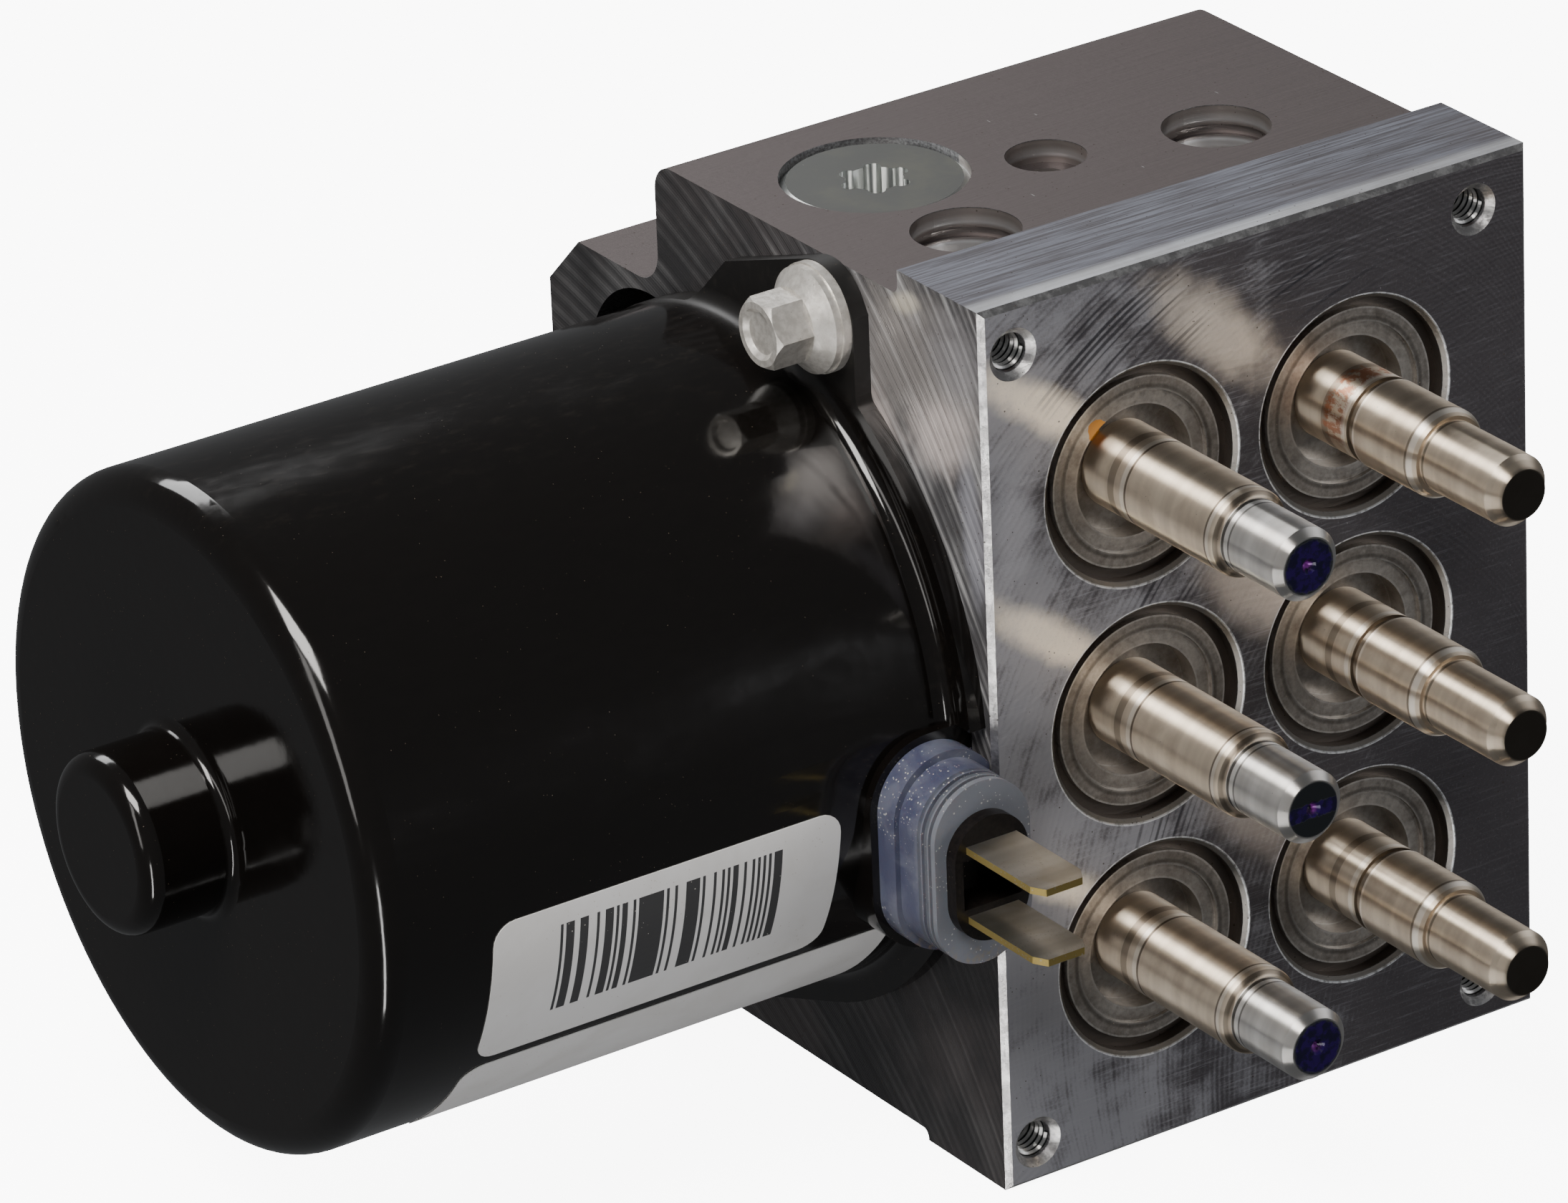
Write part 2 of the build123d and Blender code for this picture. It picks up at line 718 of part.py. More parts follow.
def make_rotor():
    rear_end = boss_reach - can_wall - shaft_end_gap
    front_end = chamber_depth - shaft_front_gap
    shaft = drilled(bearing_bore_radius, -front_end, rear_end)
    journal = drilled(eccentric_radius, -pump_x - eccentric_width / 2, -pump_x + eccentric_width / 2)
    journal = Pos(0, eccentric_offset, 0) * journal
    save("motor_shaft", on_motor_axis(shaft + journal))
    roller = drilled(roller_ring_radius, -pump_x - eccentric_width / 2, -pump_x + eccentric_width / 2)
    roller = Pos(0, eccentric_offset, 0) * roller - journal
    save("eccentric_bearing", on_motor_axis(roller))

    core_end = rotor_core_start + rotor_core_length
    core = drilled(rotor_core_radius, rotor_core_start, core_end)
    core -= drilled(bearing_bore_radius, rotor_core_start, core_end)
    slot_depth = rotor_core_radius - rotor_slot_bottom_radius
    bar_depth = winding_outer_radius - rotor_slot_bottom_radius - winding_clearance
    bars = []
    for step in range(rotor_slot_count):
        turn = Rot(360 * step / rotor_slot_count, 0, 0)
        slot_middle = rotor_slot_bottom_radius + slot_depth / 2
        core -= turn * Pos(rotor_core_start + rotor_core_length / 2, 0, slot_middle) * Box(
            rotor_core_length, rotor_slot_width, slot_depth + air_gap)
        bar_middle = rotor_slot_bottom_radius + winding_clearance + bar_depth / 2
        bars.append(turn * Pos(rotor_core_start + rotor_core_length / 2, 0, bar_middle) * Box(
            rotor_core_length + winding_clearance, rotor_slot_width - 2 * winding_clearance, bar_depth))
    save("rotor_core", on_motor_axis(core))

    coils = []
    for start, rounded in ((rotor_core_start - winding_overhang, rotor_core_start - winding_overhang),
                           (core_end, core_end + winding_overhang)):
        coils.append(turned([
            (start, winding_inner_radius),
            (start, winding_outer_radius),
            (start + winding_overhang, winding_outer_radius),
            (start + winding_overhang, winding_inner_radius),
        ], [((rounded, winding_outer_radius), winding_overhang / 2)]))
    windings = coils[0] + coils[1]
    for bar in bars:
        windings += bar
    save("rotor_windings", on_motor_axis(windings))

    segments = drilled(commutator_radius, commutator_start, commutator_start + commutator_length)
    segments -= drilled(bearing_bore_radius, commutator_start, commutator_start + commutator_length)
    save("commutator", on_motor_axis(segments))


def make_terminal():
    can_inside = Pos(motor_side, motor_axis_y, 0) * drilled(can_inner_radius, -can_length, can_length)
    can_room = Pos(motor_side, motor_axis_y, 0) * drilled(
        can_inner_radius - grommet_lip_thickness, -can_length, can_length)
    collar_face_y = grommet_face_y - grommet_collar_length
    pad = obround(grommet_width, grommet_height, grommet_face_y, opening_lip_y)
    collar = obround(grommet_collar_width, grommet_collar_height, collar_face_y, grommet_face_y)
    neck = open_notch(grommet_neck_width, grommet_neck_height, opening_lip_y, motor_axis_y) - can_room
    lip = (obround(grommet_width, grommet_height, grommet_face_y, motor_axis_y) & can_inside) - can_room
    grommet = pad + collar + neck + lip
    end_plate = Pos(motor_side, motor_axis_y, 0) * drilled(can_inner_radius, -end_plate_thickness, 0)
    grommet -= end_plate
    grommet -= beside_can()
    grommet -= obround(insert_width, insert_height, insert_face_y, motor_axis_y)
    for rib in (1, 2):
        groove_y = collar_face_y + rib * grommet_rib_pitch
        outer = obround(grommet_width, grommet_height, groove_y - grommet_rib_groove, groove_y)
        core = obround(grommet_collar_width - 2 * grommet_rib_groove,
                       grommet_collar_height - 2 * grommet_rib_groove, groove_y - grommet_rib_groove, groove_y)
        grommet -= outer - core
    save("terminal_grommet", grommet)

    insert = obround(insert_width, insert_height, insert_face_y, insert_inner_y) - end_plate
    terminal_centre = Pos(motor_side - terminal_x, 0, terminal_z)
    insert -= terminal_centre * Pos(0, insert_face_y + insert_window_depth / 2, 0) * Box(
        insert_window_width, insert_window_depth, insert_window_height)
    blades = []
    tip_y = insert_face_y - blade_reach
    for turn in (1, -1):
        outline = Polyline(
            (-blade_width / 2, blade_inner_y),
            (-blade_width / 2, tip_y + blade_tip_chamfer_length),
            (-blade_width / 2 + blade_tip_chamfer, tip_y),
            (blade_width / 2 - blade_tip_chamfer, tip_y),
            (blade_width / 2, tip_y + blade_tip_chamfer_length),
            (blade_width / 2, blade_inner_y),
            close=True)
        blade = extrude(make_face(outline), blade_thickness / 2, both=True)
        blade = terminal_centre * Pos(0, 0, turn * blade_pitch / 2) * blade
        blades.append(blade)
        insert -= blade
    save("terminal_insert", insert)
    save("terminal_blades", Compound(children=blades))


def make_pump():
    up = Rot(0, -90, 0)
    centre = Pos(pump_centre_x, motor_axis_y, 0)
    head_bottom = plug_top - plug_head_thickness
    plug = turned([
        (plug_skirt_z, 0),
        (plug_skirt_z, pump_bore_radius),
        (head_bottom, pump_bore_radius),
        (head_bottom, plug_radius),
        (plug_top - plug_chamfer, plug_radius),
        (plug_top, plug_radius - plug_chamfer),
        (plug_top, 0),
    ])
    plug = centre * (up * plug)
    socket = Circle(plug_socket_radius)
    for lobe in range(6):
        socket += Rot(0, 0, 60 * lobe) * (Pos(plug_socket_radius, 0) * Circle(plug_lobe_radius))
    plug -= centre * (Pos(0, 0, plug_top) * extrude(socket, -plug_socket_depth))
    save("pump_plugs", Compound(children=[plug, mirror(plug, Plane.XY)]))

    piston = turned([
        (piston_rest, 0),
        (piston_rest, piston_radius),
        (piston_rest + piston_length, piston_radius),
        (piston_rest + piston_length, piston_spigot_radius),
        (piston_rest + piston_length + piston_spigot_length, piston_spigot_radius),
        (piston_rest + piston_length + piston_spigot_length, 0),
    ])
    piston = centre * (up * piston)
    spring_start = piston_rest + piston_length
    spring = coil(pump_spring_radius, pump_spring_wire, plug_skirt_z - spring_start, 3)
    spring = centre * (Pos(0, 0, spring_start) * spring)
    save("pump_piston_top", piston)
    save("pump_piston_bottom", mirror(piston, Plane.XY))
    save("pump_spring_top", spring)
    save("pump_spring_bottom", mirror(spring, Plane.XY))


def make_accumulators():
    floor_y = ledge_depth - accumulator_depth
    piston_y = floor_y + accumulator_end_gap
    cup_y = piston_y + accumulator_piston_length - accumulator_piston_cup
    cover_back_y = ledge_depth - accumulator_cover_below_face
    cover_y = cover_back_y - accumulator_cover_thickness
    piston = turned([
        (piston_y, 0),
        (piston_y, accumulator_radius - guide_clearance),
        (piston_y + accumulator_piston_length, accumulator_radius - guide_clearance),
        (piston_y + accumulator_piston_length, accumulator_cup_radius),
        (cup_y, accumulator_cup_radius),
        (cup_y, 0),
    ])
    cover = turned([
        (cover_y, 0),
        (cover_y, accumulator_radius),
        (cover_back_y, accumulator_radius),
        (cover_back_y, accumulator_cover_dish_radius + accumulator_cover_dish / 2),
        (cover_back_y - accumulator_cover_dish, accumulator_cover_dish_radius),
        (cover_back_y - accumulator_cover_dish, 0),
    ])
    spring = coil(accumulator_spring_radius, accumulator_spring_wire, cover_y - cup_y, 4)
    spring = Pos(0, cup_y, 0) * (Rot(-90, 0, 0) * spring)
    covers = []
    for name, turn in (("upper", 1), ("lower", -1)):
        place = Pos(motor_side + accumulator_x, 0, turn * accumulator_offset_z)
        save(f"accumulator_piston_{name}", place * (Rot(0, 0, 90) * piston))
        save(f"accumulator_spring_{name}", place * spring)
        covers.append(place * (Rot(0, 0, 90) * cover))
    save("accumulator_covers", Compound(children=covers))


def valve_body(stem_points, bore_points):
    """Steel valve body: stepped outside, collar with a step, and a well round the stem."""
    outside = [
        (collar_depth + collar_step_drop, well_radius),
        (collar_depth + collar_step_drop, collar_step_radius),
        (collar_depth, collar_step_radius),
        (collar_depth, collar_radius),
        (collar_seat_depth, collar_radius),
        (collar_seat_depth, valve_body_radius),
        (valve_body_depth, valve_body_radius),
        (valve_body_depth, valve_nose_radius),
        (valve_nose_depth, valve_nose_radius),
        (valve_nose_depth, seat_hole_radius),
        (seat_depth, seat_hole_radius),
    ]
    return turned(outside + bore_points + stem_points + [(well_depth, well_radius)])


def make_outlet_valves():
    """Normally closed valves: the armature sits inside the sleeve, under a fixed core whose outer
    end shows at the tip, and moves outwards."""
    armature_radius = core_radius - guide_clearance
    bore_end = seat_depth - rod_radius
    body = valve_body(
        [(stem_seat_depth, sleeve_radius), (well_depth, sleeve_radius)],
        [(seat_depth, rod_radius + 2 * guide_clearance), (bore_end, rod_radius + 2 * guide_clearance),
         (bore_end, core_radius), (stem_seat_depth, core_radius)])
    sleeve = turned([
        (stem_seat_depth, core_radius),
        (stem_seat_depth, sleeve_radius),
        (-sleeve_reach, sleeve_radius),
        (-sleeve_reach, core_radius),
    ], [((-sleeve_reach, sleeve_radius), sleeve_end_round)])
    core = turned([
        (-stem_reach, centre_mark_radius),
        (-stem_reach, core_end_radius),
        (-stem_reach + core_end_chamfer, core_radius),
        (-core_inner_reach, core_radius),
        (-core_inner_reach, spring_pocket_radius),
        (-core_inner_reach - spring_pocket_length, spring_pocket_radius),
        (-core_inner_reach - spring_pocket_length, 0),
        (-stem_reach + centre_mark_depth, 0),
    ])
    armature_top = -core_inner_reach + valve_stroke + stroke_spare
    armature_end = bore_end - valve_stroke - stroke_spare
    armature = turned([
        (armature_top, 0),
        (armature_top, armature_radius),
        (armature_end, armature_radius),
        (armature_end, rod_radius),
        (seat_depth - guide_clearance, rod_radius),
        (seat_depth - guide_clearance, 0),
    ])
    spring_start = -core_inner_reach - spring_pocket_length
    spring = coil(valve_spring_radius, valve_spring_wire, armature_top - spring_start, 3)
    spring = Pos(spring_start, 0, 0) * (Rot(0, 90, 0) * spring)
    for name, z in rows.items():
        pieces = {"body": body, "sleeve": sleeve, "core": core, "armature": armature, "spring": spring}
        for kind, piece in pieces.items():
            save(f"outlet_valve_{name}_{kind}", into_face(piece, outlet_x, z))


def make_inlet_valves():
    """Normally open valves: the armature sits in the closed tip of the shell and moves inwards,
    with a rod through the pole that is in one piece with the valve body."""
    pole_radius = shell_neck_radius - shell_wall
    tip_bore = shell_tip_radius - shell_wall
    rod_bore = rod_radius + 2 * guide_clearance
    body = valve_body(
        [(stem_seat_depth, pole_radius), (stem_seat_depth, shell_neck_radius), (well_depth, shell_neck_radius)],
        [(seat_depth, rod_bore), (spring_pocket_length - pole_reach, rod_bore),
         (spring_pocket_length - pole_reach, spring_pocket_radius), (-pole_reach, spring_pocket_radius),
         (-pole_reach, pole_radius)])
    groove_end = shell_groove_reach + shell_groove_width
    shoulder_end = shell_shoulder_reach + shell_shoulder_length
    crown_start = stem_reach - 2 * shell_tip_chamfer
    chamfer_start = crown_start - shell_tip_chamfer
    shell = turned([
        (stem_seat_depth, pole_radius),
        (stem_seat_depth, shell_neck_radius),
        (-shell_groove_reach, shell_neck_radius),
        (-shell_groove_reach, shell_groove_radius),
        (-groove_end, shell_groove_radius),
        (-groove_end - (shell_radius - shell_groove_radius) / 2, shell_radius),
        (-shell_shoulder_reach, shell_radius),
        (-shoulder_end, shell_shoulder_radius),
        (-shoulder_end, shell_tip_radius),
        (-chamfer_start, shell_tip_radius),
        (-crown_start, shell_tip_radius - shell_tip_chamfer),
        (-stem_reach, shell_crown_radius),
        (-stem_reach, 0),
        (-stem_reach + shell_end_wall, 0),
        (-stem_reach + shell_end_wall, tip_bore),
        (-pole_reach, tip_bore),
        (-pole_reach, pole_radius),
    ])
    armature_inner = -pole_reach - valve_stroke - stroke_spare
    armature_outer = -stem_reach + shell_end_wall + stroke_spare
    rod_end = seat_depth - valve_stroke - stroke_spare
    armature = turned([
        (armature_outer, 0),
        (armature_outer, tip_bore - guide_clearance),
        (armature_inner, tip_bore - guide_clearance),
        (armature_inner, rod_radius),
        (rod_end, rod_radius),
        (rod_end, 0),
    ])
    spring_end = spring_pocket_length - pole_reach
    spring = coil(valve_spring_radius, valve_spring_wire, spring_end - armature_inner, 3)
    spring = Pos(armature_inner, 0, 0) * (Rot(0, 90, 0) * spring)
    for name, z in rows.items():
        pieces = {"body": body, "shell": shell, "armature": armature, "spring": spring}
        for kind, piece in pieces.items():
            save(f"inlet_valve_{name}_{kind}", into_face(piece, inlet_x, z))


os.makedirs("parts", exist_ok=True)
make_valve_block()
make_motor_can()
make_motor_end_plate()
make_motor_bolts()
make_motor_seal()
make_field_magnets()
make_brush_gear()
make_rear_bush()
make_front_bearing()
make_rotor()
make_terminal()
make_pump()
make_accumulators()
make_outlet_valves()
make_inlet_valves()
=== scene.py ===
import json
from math import cos, pi, radians, sin

import bmesh
import bpy
from mathutils import Matrix, Vector


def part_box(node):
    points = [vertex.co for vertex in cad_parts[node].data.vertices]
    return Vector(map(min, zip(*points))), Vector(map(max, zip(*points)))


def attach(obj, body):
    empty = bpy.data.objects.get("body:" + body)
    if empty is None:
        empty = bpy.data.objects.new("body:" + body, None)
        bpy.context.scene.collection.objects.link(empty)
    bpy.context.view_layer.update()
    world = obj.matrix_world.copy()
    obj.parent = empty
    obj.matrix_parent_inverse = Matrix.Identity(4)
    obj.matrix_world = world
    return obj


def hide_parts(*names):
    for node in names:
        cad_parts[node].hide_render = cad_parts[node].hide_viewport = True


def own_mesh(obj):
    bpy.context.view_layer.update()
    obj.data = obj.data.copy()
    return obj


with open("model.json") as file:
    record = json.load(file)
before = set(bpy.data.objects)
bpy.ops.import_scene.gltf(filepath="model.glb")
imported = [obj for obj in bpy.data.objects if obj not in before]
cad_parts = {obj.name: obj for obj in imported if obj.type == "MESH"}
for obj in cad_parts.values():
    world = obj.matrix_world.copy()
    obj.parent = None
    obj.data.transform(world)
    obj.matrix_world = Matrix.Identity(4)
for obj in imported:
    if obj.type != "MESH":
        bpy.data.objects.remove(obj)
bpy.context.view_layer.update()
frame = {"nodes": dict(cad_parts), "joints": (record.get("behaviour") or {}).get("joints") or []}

mm = 0.001
nodes = frame["nodes"]

# driving sizes in mm, most of them read from the frame
motorJoint = next(joint for joint in frame["joints"] if joint["name"] == "rotor_spin")
motorSideX, motorAxisY = (round(part / mm, 3) for part in motorJoint["pos_m"][:2])
coreLow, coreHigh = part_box("outlet_valve_upper_core")
stemTipY = round(coreLow[1] / mm, 3)
valvePitch = round((coreLow[2] + coreHigh[2]) / 2 / mm, 3)
canRadius = 37.0


# small helpers for node trees

def setSocket(tree, socket, value):
    # colours are given without their alpha
    if isinstance(value, bpy.types.NodeSocket):
        tree.links.new(value, socket)
    elif socket.type == "RGBA":
        socket.default_value = (*value, 1)
    else:
        socket.default_value = value


def wire(tree, node, sockets):
    for name, value in sockets.items():
        setSocket(tree, node.inputs[name], value)


def addNode(tree, kind, inputs=None, **settings):
    node = tree.nodes.new("ShaderNode" + kind)
    for name, value in settings.items():
        setattr(node, name, value)
    wire(tree, node, inputs or {})
    return node


def maths(tree, operation, first, second=0.0):
    return addNode(tree, "Math", {0: first, 1: second}, operation=operation).outputs[0]


def chain(tree, operation, first, others):
    for other in others:
        first = maths(tree, operation, first, other)
    return first


def times(tree, first, *others):
    return chain(tree, "MULTIPLY", first, others)


def plus(tree, first, *others):
    return chain(tree, "ADD", first, others)


def largest(tree, first, *others):
    return chain(tree, "MAXIMUM", first, others)


def minus(tree, first, second):
    return maths(tree, "SUBTRACT", first, second)


def size(tree, value):
    return maths(tree, "ABSOLUTE", value)


def above(tree, value, limit):
    return maths(tree, "GREATER_THAN", value, limit)


def below(tree, value, limit):
    return maths(tree, "LESS_THAN", value, limit)


def between(tree, value, limits):
    return times(tree, above(tree, value, limits[0]), below(tree, value, limits[1]))


def mixColour(tree, factor, first, second):
    return addNode(tree, "Mix", {0: factor, 6: first, 7: second}, data_type="RGBA").outputs[2]


def mixValue(tree, factor, first, second):
    return addNode(tree, "Mix", {0: factor, 2: first, 3: second}, data_type="FLOAT").outputs[0]


def paint(tree, colour, *coats):
    # each coat is a mask, its strength and its colour
    for mask, strength, tone in coats:
        share = mask if strength == 1 else times(tree, mask, strength)
        colour = mixColour(tree, share, colour, tone)
    return colour


def rangeOf(tree, value, low, high, outLow=0.0, outHigh=1.0):
    return addNode(tree, "MapRange", {0: value, 1: low, 2: high, 3: outLow, 4: outHigh},
                   interpolation_type="SMOOTHSTEP").outputs[0]


def bandAt(tree, value, centre, half, soft):
    # 1 within half of the centre, falling to 0 over soft
    return rangeOf(tree, size(tree, minus(tree, value, centre)), half, half + soft, 1.0, 0.0)


def noiseAt(tree, vector, scale, detail=3.0, rough=0.5, distort=0.0):
    return addNode(tree, "TexNoise", {"Vector": vector, "Scale": scale, "Detail": detail,
                                                "Roughness": rough, "Distortion": distort}).outputs[0]


def lineNoise(tree, along, detail):
    return addNode(tree, "TexNoise", {"W": along, "Scale": 1.0, "Detail": detail},
                   noise_dimensions="1D").outputs[0]


def dice(tree, along):
    return addNode(tree, "TexWhiteNoise", {"W": along}, noise_dimensions="1D").outputs[0]


def scaled(tree, vector, scale, place=(0, 0, 0), turn=(0, 0, 0)):
    return addNode(tree, "Mapping", {"Vector": vector, "Scale": scale, "Location": place,
                                               "Rotation": turn}).outputs[0]


def vectorMaths(tree, operation, first, second=(0, 0, 0)):
    return addNode(tree, "VectorMath", {0: first, 1: second}, operation=operation).outputs[0]


def split(tree, vector):
    return addNode(tree, "SeparateXYZ", {0: vector}).outputs


def joined(tree, x, y, z=0.0):
    return addNode(tree, "CombineXYZ", {0: x, 1: y, 2: z}).outputs[0]


def bumpFrom(tree, height, distance, strength=1.0, **inputs):
    return addNode(tree, "Bump", {"Height": height, "Distance": distance, "Strength": strength,
                                            **inputs}).outputs[0]


def newGroup(name, inputs, outputs):
    # an input given as three numbers is a vector; every output is one value
    group = bpy.data.node_groups.new(name, "ShaderNodeTree")
    for label, value in inputs.items():
        kind = "NodeSocketVector" if isinstance(value, tuple) else "NodeSocketFloat"
        group.interface.new_socket(label, in_out="INPUT", socket_type=kind).default_value = value
    for label in outputs.split():
        group.interface.new_socket(label, in_out="OUTPUT", socket_type="NodeSocketFloat")
    return group, group.nodes.new("NodeGroupInput").outputs, group.nodes.new("NodeGroupOutput")


def placeGroup(tree, group, inputs):
    return addNode(tree, "Group", inputs, node_tree=group).outputs


def newMaterial(name):
    # the coordinates are handed back in millimetres, split into x, y and z as well
    material = bpy.data.materials.new(name)
    material.use_nodes = True
    tree = material.node_tree
    coords = addNode(tree, "TexCoord").outputs
    place = scaled(tree, coords["Object"], (1000, 1000, 1000))
    return material, tree, tree.nodes["Principled BSDF"], place, split(tree, place), coords["Normal"]


# effects that several finishes share

def buildCutterMarks():
    # arcs that a face cutter leaves; x of the vector runs across its feed and y along it, in mm
    group, given, out = newGroup(
        "cutterMarks", {"Vector": (0, 0, 0), "Radius": 60.0, "Feed": 1.0, "Wobble": 0.3}, "Lines Bands")
    parts = split(group, given["Vector"])
    across = times(group, parts[0], parts[0])
    square = times(group, given["Radius"], given["Radius"])
    left = maths(group, "SQRT", largest(group, minus(group, square, across), 1.0))
    shift = times(group, noiseAt(group, given["Vector"], 0.16, 2.0), given["Wobble"])
    turns = maths(group, "DIVIDE", plus(group, minus(group, parts[1], left), shift), given["Feed"])
    saw = maths(group, "PINGPONG", turns, 0.5)
    step = dice(group, maths(group, "FLOOR", turns))
    wire(group, out, {"Lines": times(group, saw, plus(group, times(group, step, 1.2), 0.4)),
                      "Bands": lineNoise(group, times(group, turns, 0.23), 2.0)})
    return group


def buildSpecks():
    # dust and grit: small round dots, only some cells hold one
    group, given, out = newGroup(
        "specks", {"Vector": (0, 0, 0), "Density": 1.0, "Size": 0.12, "Share": 0.3}, "Mask")
    cells = addNode(group, "TexVoronoi", {"Vector": given["Vector"], "Scale": given["Density"]}).outputs
    chosen = addNode(group, "SeparateColor", {0: cells["Color"]}).outputs[0]
    dot = below(group, cells["Distance"], times(group, given["Size"], chosen))
    patchy = rangeOf(group, noiseAt(group, given["Vector"], 0.11, 2.0), 0.42, 0.62)
    second = maths(group, "FRACT", times(group, chosen, 7.31))
    keep = below(group, second, times(group, given["Share"], patchy))
    wire(group, out, {"Mask": times(group, dot, keep)})
    return group


def buildScratches():
    # short straight nicks in three directions
    group, given, out = newGroup("scratches", {"Vector": (0, 0, 0), "Density": 0.5, "Width": 0.02}, "Mask")
    lines = []
    for index, angle in enumerate((0.5, 1.55, 2.4)):
        shift = (3.1 * index, 5.7 * index, 0.4)
        turned = scaled(group, given["Vector"], (1.0, 0.12, 0.5), shift, (0, angle, angle))
        cells = addNode(group, "TexVoronoi", {"Vector": turned, "Scale": given["Density"]}).outputs
        chosen = addNode(group, "SeparateColor", {0: cells["Color"]}).outputs[1]
        line = below(group, cells["Distance"], given["Width"])
        lines.append(times(group, line, above(group, chosen, 0.55)))
    wire(group, out, {"Mask": largest(group, *lines)})
    return group


def buildStains():
    # soft clouds of tarnish, handling marks and dried fluid
    group, given, out = newGroup("stains", {"Vector": (0, 0, 0), "Size": 0.1, "Edge": 0.5}, "Cloud Mottle")
    cloud = noiseAt(group, given["Vector"], given["Size"], 5.0, 0.6, 0.4)
    high = plus(group, given["Edge"], 0.16)
    wire(group, out, {
        "Cloud": addNode(group, "MapRange", {0: cloud, 1: given["Edge"], 2: high}).outputs[0],
        "Mottle": noiseAt(group, given["Vector"], times(group, given["Size"], 9.0), 4.0, 0.7)})
    return group


def buildTurnedRings():
    # fine lathe marks; the place along the feed is given in mm
    group, given, out = newGroup("turnedRings", {"Place": 0.0, "Pitch": 0.2}, "Rings Bands")
    turns = maths(group, "DIVIDE", given["Place"], given["Pitch"])
    wire(group, out, {"Rings": lineNoise(group, turns, 3.0),
                      "Bands": lineNoise(group, times(group, turns, 0.12), 2.0)})
    return group


def buildSoftPatch():
    # one ragged soft-edged oval on a flat face; the vector's x and y lie in the face, in mm
    group, given, out = newGroup("softPatch", {"Vector": (0, 0, 0), "Centre": (0, 0, 0), "Half": (10, 10, 1),
                                               "Turn": 0.0, "Ragged": 0.5}, "Mask")
    away = vectorMaths(group, "SUBTRACT", given["Vector"], given["Centre"])
    turned = addNode(group, "VectorRotate", {"Vector": away, "Angle": given["Turn"]},
                     rotation_type="Z_AXIS").outputs[0]
    flat = vectorMaths(group, "MULTIPLY", vectorMaths(group, "DIVIDE", turned, given["Half"]), (1, 1, 0))
    reach = addNode(group, "VectorMath", {0: flat}, operation="LENGTH").outputs["Value"]
    ragged = times(group, minus(group, noiseAt(group, given["Vector"], 0.22, 5.0, 0.6), 0.5), given["Ragged"])
    wire(group, out, {"Mask": rangeOf(group, plus(group, reach, ragged), 0.25, 1.1, 1.0, 0.0)})
    return group


def buildValvePlace():
    # distance from the nearest valve's axis, height over that axis, and the axis's own x, in mm
    group, given, out = newGroup("valvePlace", {"Vector": (0, 0, 0)}, "Radius Height AxisX")
    parts = split(group, given["Vector"])
    across = minus(group, size(group, parts[0]), valvePitch / 2)
    row = maths(group, "ROUND", maths(group, "DIVIDE", parts[2], valvePitch))
    row = largest(group, maths(group, "MINIMUM", row, 1.0), -1.0)
    height = minus(group, parts[2], times(group, row, valvePitch))
    square = plus(group, times(group, across, across), times(group, height, height))
    wire(group, out, {"Radius": maths(group, "SQRT", square), "Height": height,
                      "AxisX": times(group, maths(group, "SIGN", parts[0]), valvePitch / 2)})
    return group


cutterMarks = buildCutterMarks()
specks = buildSpecks()
scratches = buildScratches()
stains = buildStains()
turnedRings = buildTurnedRings()
softPatch = buildSoftPatch()
valvePlace = buildValvePlace()
print("shared effects ready")


def specksOn(tree, place, density, dotSize, share):
    return placeGroup(tree, specks, {"Vector": place, "Density": density, "Size": dotSize,
                                     "Share": share})["Mask"]


def nicksOn(tree, place, density, width):
    return placeGroup(tree, scratches, {"Vector": place, "Density": density, "Width": width})["Mask"]


def stainsOn(tree, place, cloudSize, edge):
    return placeGroup(tree, stains, {"Vector": place, "Size": cloudSize, "Edge": edge})


def patchOn(tree, vector, centre, half, turn, ragged):
    return placeGroup(tree, softPatch, {"Vector": vector, "Centre": (*centre, 0), "Half": (*half, 1),
                                        "Turn": turn, "Ragged": ragged})["Mask"]


# valve block

blockLook = {
    "slate": (0.078, 0.071, 0.077),
    "pale": (0.31, 0.31, 0.335),
    "scrape": (0.028, 0.028, 0.035),
    "brushed": (0.36, 0.36, 0.39),
    "sideDark": (0.09, 0.088, 0.092),
    "sidePale": (0.56, 0.555, 0.56),
    "sideShade": (0.028, 0.027, 0.028),
    "smooth": (0.72, 0.67, 0.645),
    "topSkin": (0.112, 0.095, 0.094),
    "flangeTop": (0.105, 0.10, 0.11),
    "flangeStreak": (0.21, 0.22, 0.26),
    "bright": (0.80, 0.82, 0.84),
    "rim": (0.28, 0.265, 0.245),
    "edge": (0.40, 0.39, 0.39),
    "edgeHighlight": (0.74, 0.73, 0.72),
    "bore": (0.34, 0.30, 0.28),
    "boreBrown": (0.16, 0.105, 0.08),
    "seatShade": (0.12, 0.102, 0.088),
    "hidden": (0.30, 0.30, 0.31),
    "grit": (0.06, 0.045, 0.035),
    "sideCutter": {"Radius": 125.0, "Feed": 2.1, "Wobble": 0.5},
    "sideFineCutter": {"Radius": 125.0, "Feed": 0.42, "Wobble": 0.2},
    "faceCutter": {"Radius": 48.0, "Feed": 0.9, "Wobble": 0.6},
    "faceBackCutter": {"Radius": 70.0, "Feed": 0.8, "Wobble": 0.35},
    "sideCutterMiddleY": 108.0,
    "faceCutterMiddleX": -6.0,
    "faceBackTurn": -0.93,
    "brushing": ((0.35, 0.5), (1.25, 0.4), (2.3, 0.5)),  # direction and strength
    "smoothSide": ((12, 41), (15, 10)),  # y and z of its centre, half sizes
    "middleX": 1.6,
    "sideFromMiddle": 34.5,
    "faceDepth": 0.3,
    "edgeDepth": 0.75,
    "topZ": 33.0,
    "flangeTopZ": 50.0,
    "portZ": (34.0, 48.1),
    "portY": (15.5, 41.0),
    "sealRingZ": 45.4,
    "seatRadius": 12.6,
    "lipRadius": 12.4,
    "seatDepth": 9.0,
    "bumpDepth": 0.00011,
}
